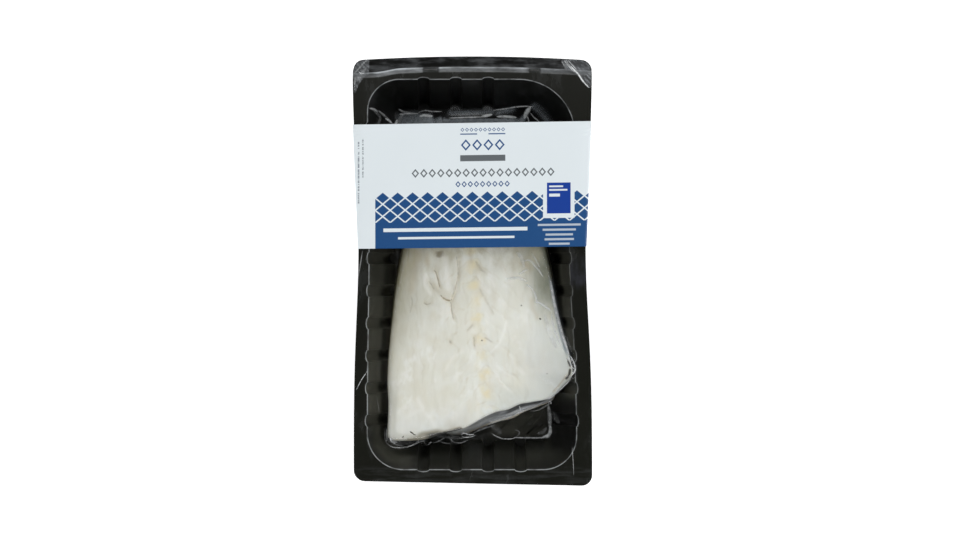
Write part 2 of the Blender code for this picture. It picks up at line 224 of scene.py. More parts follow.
def throughPoints(a, b, c, d, t):
    # A smooth curve from b at t = 0 to c at t = 1
    return 0.5 * (2 * b + (c - a) * t + (2 * a - 5 * b + 4 * c - d) * t * t + (3 * b - a - 3 * c + d) * t**3)


def evenly(curve, count, endpoint=True):
    # Evenly spaced points on a run of points, and how far along it they are
    along = np.concatenate([[0], np.cumsum(np.hypot(*np.diff(curve, axis=0).T))])
    at = np.linspace(0, along[-1], count, endpoint=endpoint)
    return np.column_stack([np.interp(at, along, curve[:, k]) for k in (0, 1)]), at


def rimCorners():
    # (centre x, centre y, radius, side in x, side in y) of each corner
    left, right, bottom, top = (pack[k] for k in ("rimLeft", "rimRight", "rimBottom", "rimTop"))
    places = ((left, bottom, -1, -1), (right, bottom, 1, -1), (right, top, 1, 1), (left, top, -1, 1))
    return [(x - sx * r, y - sy * r, r, sx, sy) for (x, y, sx, sy), r in zip(places, pack["rimRadii"])]


def rimInset(x, y):
    # How far a point lies inside the cavity's rim, in plan
    inset = np.minimum.reduce(
        [x - pack["rimLeft"], pack["rimRight"] - x, y - pack["rimBottom"], pack["rimTop"] - y])
    for cx, cy, radius, sx, sy in rimCorners():
        inside = ((x - cx) * sx > 0) & ((y - cy) * sy > 0)
        inset = np.where(inside, radius - np.hypot(x - cx, y - cy), inset)
    return inset


def wallHeight(inset, rimRound, footRound):
    # Height of the cavity's wall and floor by the distance in from the rim
    depth = pack["flangeZ"] - pack["floorZ"]
    wall = softMin(depth + 0 * inset, depth - pack["wallFall"] * inset, rimRound)
    return pack["floorZ"] + softMax(wall, 0, footRound)


def lipBow(x):
    return pack["bow"] * (x / pack["bowHalfSpan"]) ** 2


def stepBow(x):
    # The step curls inwards at its left end
    return lipBow(x) + pack["curl"] * smooth(-x, 43, 60)


def squeezed(points):
    # The sleeve squeezes the pack's waist; the floor keeps its width
    points = np.array(points, float)
    x, y, z = points.reshape(-1, 3).T
    waist = np.exp(-(((y - pack["waistY"]) / pack["waistReach"]) ** 2))
    lift = np.maximum(0, z - pack["floorZ"]) / (pack["flangeZ"] - pack["floorZ"])
    x = x + np.interp(x, pack["waistAt"], pack["waistPush"]) * waist * lift
    return np.stack([x, y, z], -1).reshape(points.shape)


def roundedOutline(corners, arcSteps, spacing):
    # A closed outline through (x, y, radius) corners, with its long edges cut into even pieces
    points = []
    for k, (x, y, radius) in enumerate(corners):
        here = Vector((x, y))
        before = (Vector(corners[k - 1][:2]) - here).normalized()
        after = (Vector(corners[(k + 1) % len(corners)][:2]) - here).normalized()
        if not radius:
            points.append(here)
            continue
        half = before.angle(after) / 2
        centre = here + (before + after).normalized() * radius / math.sin(half)
        start = here + before * radius / math.tan(half) - centre
        turn = (math.pi - 2 * half) * (1 if before.cross(after) < 0 else -1)
        for step in range(arcSteps + 1):
            c, s = math.cos(turn * step / arcSteps), math.sin(turn * step / arcSteps)
            points.append(centre + Vector((start.x * c - start.y * s, start.x * s + start.y * c)))
    cut = []
    for here, there in zip(points, points[1:] + points[:1]):
        pieces = max(1, round((there - here).length / spacing))
        cut += [tuple(here.lerp(there, k / pieces)) for k in range(pieces)]
    return np.array(cut)


def gridFaces(rows, columns, closed):
    # Quads between rows of points, each row running anticlockwise from above and the next row inside it
    faces = []
    for r in range(rows - 1):
        for c in range(columns if closed else columns - 1):
            a, b = r * columns + c, r * columns + (c + 1) % columns
            faces.append((a, b, b + columns, a + columns))
    return faces


def addObject(name, data):
    item = bpy.data.objects.new(name, data)
    bpy.context.scene.collection.objects.link(item)
    return item


def addMesh(name, points, faces, material, attributes=None, edges=()):
    # An attribute is a number or a vector for each point
    mesh = bpy.data.meshes.new(name)
    mesh.from_pydata((np.asarray(points).reshape(-1, 3) * mm).tolist(), edges, faces)
    for key, values in (attributes or {}).items():
        values = np.asarray(values, np.float32)
        kind, field = ("FLOAT_VECTOR", "vector") if values.ndim == 2 else ("FLOAT", "value")
        mesh.attributes.new(key, kind, "POINT").data.foreach_set(field, values.ravel())
    mesh.materials.append(material)
    return addObject(name, mesh)


def addFill(item, *loops):
    # Triangles inside the first loop of vertex numbers and outside the others
    bm = bmesh.new()
    bm.from_mesh(item.data)
    bm.verts.ensure_lookup_table()
    edges = []
    for loop in loops:
        for a, b in zip(loop, loop[1:] + loop[:1]):
            pair = (bm.verts[a], bm.verts[b])
            edges.append(bm.edges.get(pair) or bm.edges.new(pair))
    bmesh.ops.triangle_fill(bm, use_beauty=True, use_dissolve=False, edges=edges, normal=(0, 0, 1))
    bm.to_mesh(item.data)
    bm.free()


def faceOut(item, sheet=False):
    # Merges doubles and turns the faces outwards, or upwards on an open sheet
    bm = bmesh.new()
    bm.from_mesh(item.data)
    bmesh.ops.remove_doubles(bm, verts=bm.verts, dist=0.00001)
    bmesh.ops.recalc_face_normals(bm, faces=bm.faces)
    bm.normal_update()
    up = sum(f.normal.z * f.calc_area() for f in bm.faces) if sheet else bm.calc_volume(signed=True)
    if up < 0:
        bmesh.ops.reverse_faces(bm, faces=bm.faces)
    bm.to_mesh(item.data)
    bm.free()


def faceUp(item):
    faceOut(item, True)


def addWall(item, thickness, even=True):
    # Thickens a sheet inwards
    wall = item.modifiers.new("wall", "SOLIDIFY")
    wall.thickness, wall.offset, wall.use_even_offset = thickness * mm, -1.0, even


def finished(item, slot, *nodes, angle=40):
    # Applies the modifiers, shades the piece smooth and ties it to the pack
    bpy.context.view_layer.update()
    evaluated = item.evaluated_get(bpy.context.evaluated_depsgraph_get())
    mesh = bpy.data.meshes.new_from_object(evaluated)
    item.modifiers.clear()
    item.data = mesh
    mesh.name = item.name
    mesh.shade_smooth()
    mesh.set_sharp_from_angle(angle=math.radians(angle))
    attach(item, "root")
    if nodes:
        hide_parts(*nodes)
    print(item.name, sum(len(p.vertices) - 2 for p in mesh.polygons), "triangles")


def newTree(name, *labels):
    # A Geometry Nodes tree with a mesh in and out and named number inputs
    tree = bpy.data.node_groups.new(name, "GeometryNodeTree")
    tree.interface.new_socket("Geometry", in_out="INPUT", socket_type="NodeSocketGeometry")
    tree.interface.new_socket("Geometry", in_out="OUTPUT", socket_type="NodeSocketGeometry")
    for label in labels:
        tree.interface.new_socket(label, in_out="INPUT", socket_type="NodeSocketFloat")
    group = tree.nodes.new("NodeGroupInput")
    return tree, Wire(tree), lambda label: Wire(tree, group.outputs[label])


def closeTree(geometry, material):
    # Makes instances real, sets the material and ends the tree
    real = geometry.node("GeometryNodeRealizeInstances", None, {"Geometry": geometry})
    done = real.node("GeometryNodeSetMaterial", None, {"Geometry": real, "Material": material})
    done.node("NodeGroupOutput", None, {"Geometry": done})


def addTree(item, tree, values):
    modifier = item.modifiers.new(tree.name, "NODES")
    modifier.node_group = tree
    for socket in tree.interface.items_tree:
        if socket.in_out == "INPUT" and socket.name in values:
            modifier[socket.identifier] = values[socket.name]


# Camera straight over the pack, and soft light from all round it
view = {"x": 4.8, "y": 0.6, "height": 1281.0, "lens": 76.06}
lensHolder = bpy.data.cameras.new("overhead")
lensHolder.lens, lensHolder.sensor_width = view["lens"], 36.0
lensHolder.clip_start, lensHolder.clip_end = 0.01, 20.0
overhead = addObject("overhead", lensHolder)
overhead.location = Vector((view["x"], view["y"], view["height"])) * mm
bpy.context.scene.camera = overhead
bpy.context.scene.view_settings.view_transform = "Standard"

studio = {
    "sky": (0.95, 0.98, 1.0, 1.0), "skyStrength": 0.115,
    "aimHeight": 20, "tableHalf": 4000, "tableDrop": 0.3,
    # turn round the pack, height, distance, width, tall, power
    "panels": (
        (90, 480, 980, 900, 520, 6.6),  # past the peel lip
        (-90, 640, 900, 900, 420, 4.4),
        (180, 640, 900, 900, 420, 4.2),
        (0, 640, 900, 900, 420, 6.4),
    ),
}


def addPanel(turn, height, distance, width, tall, power):
    light = bpy.data.lights.new("softPanel", "AREA")
    light.shape, light.size, light.size_y, light.energy = "RECTANGLE", width * mm, tall * mm, power
    panel = addObject("softPanel", light)
    across = math.radians(turn)
    place = Vector((math.cos(across) * distance, math.sin(across) * distance, height)) * mm
    panel.location = place
    aim = Vector((0, 0, studio["aimHeight"])) * mm - place
    panel.rotation_euler = aim.to_track_quat("-Z", "Y").to_euler()


for panel in studio["panels"]:
    addPanel(*panel)
world = bpy.data.worlds.new("studio")
world.use_nodes = True
sky = world.node_tree.nodes["Background"].inputs
sky["Color"].default_value, sky["Strength"].default_value = studio["sky"], studio["skyStrength"]
bpy.context.scene.world = world

paleFloor, start = newMaterial("paleFloor")
surface(principled(start, (0.93, 0.93, 0.93, 1), 0.9, {
    "Emission Color": (1, 1, 1, 1), "Emission Strength": 0.6}))
table = addMesh(
    "table", np.array([(-1, -1, 0), (1, -1, 0), (1, 1, 0), (-1, 1, 0)]) * studio["tableHalf"],
    [(0, 1, 2, 3)], paleFloor)
table.location.z = -studio["tableDrop"] * mm
print("camera, lights and floor")

# Tray
tray = {
    "wall": 0.8, "rimRound": 0.9, "footRound": 1.3,
    "flangeLeftTop": -73.92, "lipHalfLeft": 73.92, "flangeLeftBottom": -73.0,
    "flangeBottomLeft": -129.5, "flangeBottomRight": -132.5, "cornerLeft": 7.0, "cornerRight": 6.5,
    # rows of the mesh, by the distance in from the rim, and columns across half a flute
    "wallRows": (
        -1.8, -1.4, -1.0, -0.7, -0.45, -0.2, 0, 0.2, 0.45, 0.7, 1.1, 1.7, 2.6, 4, 5.6, 7.2, 8.8, 10.4, 12,
        13.2, 14.1, 14.7, 15.1, 15.5, 15.9, 16.3, 16.7, 17.1, 17.5, 17.9, 18.4, 20),
    "fluteColumns": (0, 0.2, 0.4, 0.6, 0.78, 0.9, 0.97, 1), "plainSpacing": 2.2, "plainFrom": 2.5,
    "flutePitch": 20.05, "fluteHalfWidth": 3.7, "fluteAtRim": 1.2, "fluteAtFoot": 3.6, "flutesEachWay": 5,
    "stepRun": 4.2, "stepDrop": 2.65, "lipReach": 9.8, "lipCorner": 6.5,
    # rows of the peel lip, by the distance out from the step
    "lipRows": (
        -1.2, -0.6, 0, 0.35, 0.7, 1.05, 1.4, 1.75, 2.1, 2.45, 2.8, 3.15, 3.5, 3.9, 4.4, 5.2, 6.2, 7.2, 8.2,
        9, 9.5, 9.8),
    "lugs": ((-30.3, -21.1), (35.6, 41.8)), "lugReach": 1.9, "lugColumns": (0.15, 0.45, 0.75),
    # how brightly the film over the step shines along it, and out across it
    "shineAt": (
        -74, -61, -58, -44, -31, -30, -21, -20, -14, -12, 4, 6, 13, 15, 21, 33, 35.5, 42, 43, 54, 58, 74),
    "shine": (
        0.3, 0.8, 1.7, 1.75, 1.5, 0.12, 0.12, 1.2, 1.1, 0.8, 0.8, 1.0, 1.0, 0.6, 0.6, 1.1, 0.12, 0.12, 0.9,
        0.65, 0.5, 0.5),
    "shineOut": (-0.2, 0.3, 1.0, 2.1, 2.5, 2.9, 3.3, 3.5),
    "shineAcross": (0.0, 0.4, 0.55, 0.62, 1.1, 2.0, 1.8, 0.0),
    # painted light where the cavity's walls lie in shade or mirror the flesh: strength, half width, then
    # points
    "paintedLight": (
        (0.95, 12.0, (-56.0, -14.0), (-57.0, -40.0), (-57.5, -62.0), (-58.0, -84.0)),
        (0.60, 8.0, (-56.0, 8.0), (-56.0, -8.0)),
        (0.65, 5.0, (-58.0, -88.0), (-57.0, -100.0), (-54.0, -108.0), (-48.0, -114.0), (-42.0, -117.0)),
        (0.65, 2.2, (-59.0, -108.0), (-52.0, -116.0), (-44.0, -118.6)),
        (0.85, 7.5, (55.6, 6.0), (57.4, -16.0), (60.0, -36.0), (61.5, -50.0)),
        (0.90, 3.2, (56.6, -73.6), (61.6, -76.4)),
        (0.20, 4.0, (30.0, -117.0), (48.0, -113.0), (56.0, -104.0)),
    ),
    # dark gaps under the film by the rim's bottom left corner
    "gaps": (
        (1.0, 1.5, (-65.2, -90.0), (-65.0, -95.0)),
        (1.0, 1.7, (-64.2, -99.0), (-64.0, -105.0), (-63.0, -109.0)),
    ),
}
trayPlastic, start = newMaterial("trayPlastic")
place = millimetres(start)
x, y, z = place.parts()
inset, paintedLight, stepShine = (start.attribute(name) for name in ("inset", "paintedLight", "step"))
cloud = place.grain(0.05)
level = z.rise(30.0, 30.9)  # 1 on the flange and the lip
scratches = place.streaks((1.6, 0.035, 1.0), 2.0, 0.5).rise(0.70, 0.80)
scratches = scratches * place.grain(0.03, 1.0).rise(0.48, 0.62)
smears = place.streaks((0.08, 0.03, 0.05), 5.0, 0.65).rise(0.50, 0.75)
along = place.grain(0.16, 2.0).rise(0.30, 0.62)
rimLineAndHighlight = inset.hump(0.22, 0.42) * (0.30 + 0.70 * along)  # film bridging the rim traps a pale line of air, painted brighter as a highlight along the rim
rimLineAndHighlight = rimLineAndHighlight * (1 - 0.55 * x.rise(40.0, 50.0) * y.rise(-62.0, -44.0) * (1 - y.rise(80.0, 90.0)))
# painted shine of the film over the step, in streaks
stepPaintedShine = stepShine * (0.55 + 0.75 * place.streaks((0.14, 0.5, 0.1), 4.0, 0.65).rise(0.30, 0.70))
# painted reflections in streaks on the peel lip
lipReflections = place.streaks((0.07, 0.30, 0.1)).rise(0.40, 0.70) * y.rise(122.0, 124.0)
tone = cloud.blend((0.0082, 0.0086, 0.0062, 1), (0.0114, 0.0118, 0.0092, 1))
# painted reflection: the flange and the lip lighter towards the top
tone = (y.rise(60.0, 125.0) * level * 0.5).blend(tone, (0.022, 0.022, 0.020, 1))
# painted shade: the cavity's walls darker under the peel lip
tone = ((1 - level) * y.rise(84.0, 98.0) * 0.9).blend(tone, (0.0004, 0.0004, 0.0003, 1))
# paler floor past the slanted cut, and painted light on the walls where they lie in shade
floorPart = (1 - z.rise(1.8, 2.5)) * x.band(12.0, 47.0, 4.0) * y.band(-104.0, -80.0, 2.0)
floorPart = floorPart * (0.2 + 1.1 * place.streaks((0.10, 0.16, 0.1)))
tone = floorPart.blend(tone, (0.055, 0.055, 0.043, 1))
# painted light, much stronger near the left foot, where the fillet shades the wall
leftFootLight = (1 - z.rise(2.5, 15.0)) * (1 - x.rise(-40.0, 0.0))
wallLightTone = leftFootLight.blend((0.044, 0.044, 0.034, 1), (0.26, 0.255, 0.20, 1))
tone = (paintedLight * (0.70 + 0.6 * place.streaks((0.3, 0.1, 0.3)))).blend(tone, wallLightTone)
# painted shade in the cavity's bottom right corner, beside the fillet
cornerShade = (1 - level) * x.rise(46.5, 51.0) * y.band(-112.0, -80.0, 4.0)
tone = (cornerShade * 0.9).blend(tone, (0.0006, 0.0006, 0.0005, 1))
# smears and scratches of the film over the plastic, with painted reflections and a painted shine on the step
# and along the rim
# painted bluish reflection on the right flange
flangeReflection = place.streaks((0.10, 0.05, 0.05)).rise(0.35, 0.6) * level
flangeReflection = flangeReflection * x.band(60.0, 72.0, 2.5) * y.band(-10.0, 7.0, 5.0)
tone = (flangeReflection * 0.8).blend(tone, (0.030, 0.031, 0.038, 1))
baseSmears = place.streaks((0.05, 0.35, 0.1)).rise(0.40, 0.68) * level * (1 - y.rise(-123.0, -119.0))
marksAndReflections = smears * 0.03 + scratches * level * 0.10 + lipReflections * 0.14 + baseSmears * 0.035
tone = marksAndReflections.blend(tone, (0.40, 0.42, 0.44, 1))
tone = (stepPaintedShine * 0.36).blend(tone, (0.42, 0.45, 0.47, 1))
tone = (rimLineAndHighlight * 0.66).blend(tone, (0.50, 0.53, 0.54, 1))
gloss = 0.42 - level * 0.26 + cloud * 0.12 + scratches * level * 0.2 + smears * 0.12
surface(principled(start, tone, gloss, {"IOR": 1.3, "Normal": place.grain(0.5, 2.0).bump(0.1, 0.0001)}))


def rimStations():
    # (x, y, outward x, outward y, run along the side, 1 where a flute fits) round the rim, anticlockwise
    middleX, middleY = (pack["rimLeft"] + pack["rimRight"]) / 2, (pack["rimBottom"] + pack["rimTop"]) / 2
    corners = rimCorners()
    rows = []
    half = tray["fluteColumns"]
    shares = [-u for u in half[:0:-1]] + list(half)
    for k, (cx, cy, radius, _, _) in enumerate(corners):
        start = math.pi + k * math.pi / 2
        steps = max(8, round(radius * 0.8))
        for step in range(steps + 1):
            angle = start + step * math.pi / 2 / steps
            nx, ny = math.cos(angle), math.sin(angle)
            rows.append((cx + nx * radius, cy + ny * radius, nx, ny, 0, 0))
        nx, ny = math.cos(start + math.pi / 2), math.sin(start + math.pi / 2)
        ax, ay = -ny, nx
        first, last = (
            (qx + nx * r - middleX) * ax + (qy + ny * r - middleY) * ay
            for qx, qy, r, _, _ in (corners[k], corners[(k + 1) % 4]))
        runs = []
        for j in range(-tray["flutesEachWay"], tray["flutesEachWay"]):
            centre = (j + 0.5) * tray["flutePitch"]
            if min(centre - first, last - centre) > tray["fluteHalfWidth"]:
                runs += [(centre + u * tray["fluteHalfWidth"], 1) for u in shares]
        stops = [first] + [r for r, _ in runs] + [last]
        for a, b in zip(stops, stops[1:]):
            pieces = math.ceil((b - a) / tray["plainSpacing"])
            if b - a > tray["plainFrom"]:
                runs += [(a + (b - a) * p / pieces, 0) for p in range(1, pieces)]
        side = (cx + nx * radius - middleX) * nx + (cy + ny * radius - middleY) * ny
        for run, fits in sorted(runs):
            rows.append((middleX + nx * side + ax * run, middleY + ny * side + ay * run, nx, ny, run, fits))
    return np.array(rows)


def lipSheet(columns):
    # Peel lip: rows from just inside the step out to the edge, columns from right to left
    lip = []
    for out in tray["lipRows"]:
        past = np.clip(out - (tray["lipReach"] - tray["lipCorner"]), 0, tray["lipCorner"])
        half = pack["halfWidth"] - tray["lipCorner"] + math.sqrt(tray["lipCorner"] ** 2 - past**2)
        x = np.maximum(columns * half, -tray["lipHalfLeft"])
        lug = sum(smooth(x, a - 0.5, a + 0.5) * (1 - smooth(x, b - 0.5, b + 0.5)) for a, b in tray["lugs"])
        held = tray["lugReach"] * lug
        ramp = np.clip((out - held) / (tray["stepRun"] - 0.8 - held), -0.5, 2)
        down = tray["stepDrop"] * softMax(softMin(ramp, 1 + 0 * ramp, 0.12), 0 * ramp, 0.12)
        bow = stepBow(x) + (lipBow(x) - stepBow(x)) * smooth(out, 3.2, 9.0)
        lip.append(np.column_stack([x, pack["stepY"] + out - bow, pack["flangeZ"] - down]))
    return np.concatenate(lip)


def traySheet():
    stations = rimStations()
    insets, outs = tray["wallRows"], tray["lipRows"]
    heights = wallHeight(np.array(insets, float), tray["rimRound"], tray["footRound"])
    heights[0], heights[-1] = pack["flangeZ"], pack["floorZ"]
    points, drops = [], []
    for inset, height in zip(insets, heights):
        points.append(np.column_stack([
            stations[:, 0] - stations[:, 2] * inset, stations[:, 1] - stations[:, 3] * inset,
            np.full(len(stations), height)]))
        drops.append(np.full(len(stations), (pack["flangeZ"] - height) / (pack["flangeZ"] - pack["floorZ"])))
    points, drops = np.concatenate(points), np.concatenate(drops)
    wide = np.tile(stations, (len(insets), 1))
    faces = gridFaces(len(insets), len(stations), True)
    count = len(points)

    near = [(place + side * shift) / pack["halfWidth"] for lug in tray["lugs"] for place in lug
            for shift in tray["lugColumns"] for side in (-1, 1)]
    columns = np.unique(np.concatenate([np.linspace(-1, 1, 121), near]))[::-1]
    lip = lipSheet(columns)
    lipFaces = gridFaces(len(outs), len(columns), False)
    faces += [(d + count, c + count, b + count, a + count) for a, b, c, d in lipFaces]

    # Flange outline down the left side, along the bottom and up the right side
    topY = pack["stepY"] + outs[0] - lipBow(pack["halfWidth"])
    outline = roundedOutline([
        (tray["flangeLeftTop"], topY - pack["curl"], 0),
        (tray["flangeLeftBottom"], tray["flangeBottomLeft"], tray["cornerLeft"]),
        (pack["halfWidth"], tray["flangeBottomRight"], tray["cornerRight"]),
        (pack["halfWidth"], topY, 0)], 8, 5.0)
    corner = int(np.argmin(np.hypot(outline[:, 0] - pack["halfWidth"], outline[:, 1] - topY)))
    sides = np.column_stack([outline[1:corner], np.full(corner - 1, pack["flangeZ"])])
    everything = np.concatenate([points, lip, sides])
    top = [count + k for k in range(len(columns))]
    border = [count + len(lip) + k for k in range(len(sides))]
    extra = len(lip) + len(sides)
    insideRim = np.concatenate([np.repeat(insets, len(stations)), np.full(extra, -5.0)])
    stepShine = np.repeat(np.interp(outs, tray["shineOut"], tray["shineAcross"]), len(columns))
    stepShine = stepShine * np.interp(lip[:, 0], tray["shineAt"], tray["shine"])
    bareX, bareY, bareZ = everything.T
    paintedLight = strokes(bareX, bareY, tray["paintedLight"]) * (1 - strokes(bareX, bareY, tray["gaps"])) * (bareZ < 30.6)
    stepShine = np.concatenate([np.zeros(count), stepShine, np.zeros(len(sides))])
    attributes = {"paintedLight": paintedLight, "inset": insideRim, "step": stepShine}
    for key, values in (
            ("fluteRun", wide[:, 4] * mm), ("fluteFits", wide[:, 5]), ("drop", drops),
            ("outwards", np.column_stack([wide[:, 2], wide[:, 3], np.zeros(count)]))):
        attributes[key] = np.concatenate([values, np.zeros((extra, *values.shape[1:]))])
    item = addMesh("trayShell", squeezed(everything), faces, trayPlastic, attributes)
    addFill(item, top + border, list(range(len(stations))))
    last = (len(insets) - 1) * len(stations)
    addFill(item, [last + k for k in range(len(stations))])
    faceUp(item)
    return item


def fluteTree():
    # Pushes half-round flutes out of the wall, deeper towards the floor
    tree, start, given = newTree("wallFlutes", "Pitch", "Half Width", "Depth At Rim", "Depth At Foot")
    away = (start.stored("fluteRun") / given("Pitch")).zigzag() * given("Pitch") / given("Half Width")
    roundness = (1 - away * away).math("MAXIMUM", 0.0).math("SQRT")
    depth = given("Depth At Rim") + (given("Depth At Foot") - given("Depth At Rim")) * start.stored("drop")
    outwards = start.stored("outwards", "FLOAT_VECTOR")
    shift = outwards.node("ShaderNodeVectorMath", {"operation": "SCALE"}, {
        0: outwards, "Scale": roundness * depth * start.stored("fluteFits")})
    moved = start.node("GeometryNodeSetPosition", None, {"Geometry": given("Geometry"), "Offset": shift})
    closeTree(moved, trayPlastic)
    return tree


def keepUpper(item, key):
    # Clears an attribute where the surface doesn't look up
    stored = item.data.attributes[key].data
    values, normals = np.zeros(len(stored), np.float32), np.zeros(len(stored) * 3, np.float32)
    stored.foreach_get("value", values)
    item.data.vertices.foreach_get("normal", normals)
    stored.foreach_set("value", values * (normals[2::3] > 0))


trayShell = traySheet()
addTree(trayShell, fluteTree(), {
    "Pitch": tray["flutePitch"] * mm, "Half Width": tray["fluteHalfWidth"] * mm,
    "Depth At Rim": tray["fluteAtRim"] * mm, "Depth At Foot": tray["fluteAtFoot"] * mm})
addWall(trayShell, tray["wall"], even=False)
finished(trayShell, "tray_plastic", "tray")
keepUpper(trayShell, "paintedLight")  # the painted light is on the cavity's side alone

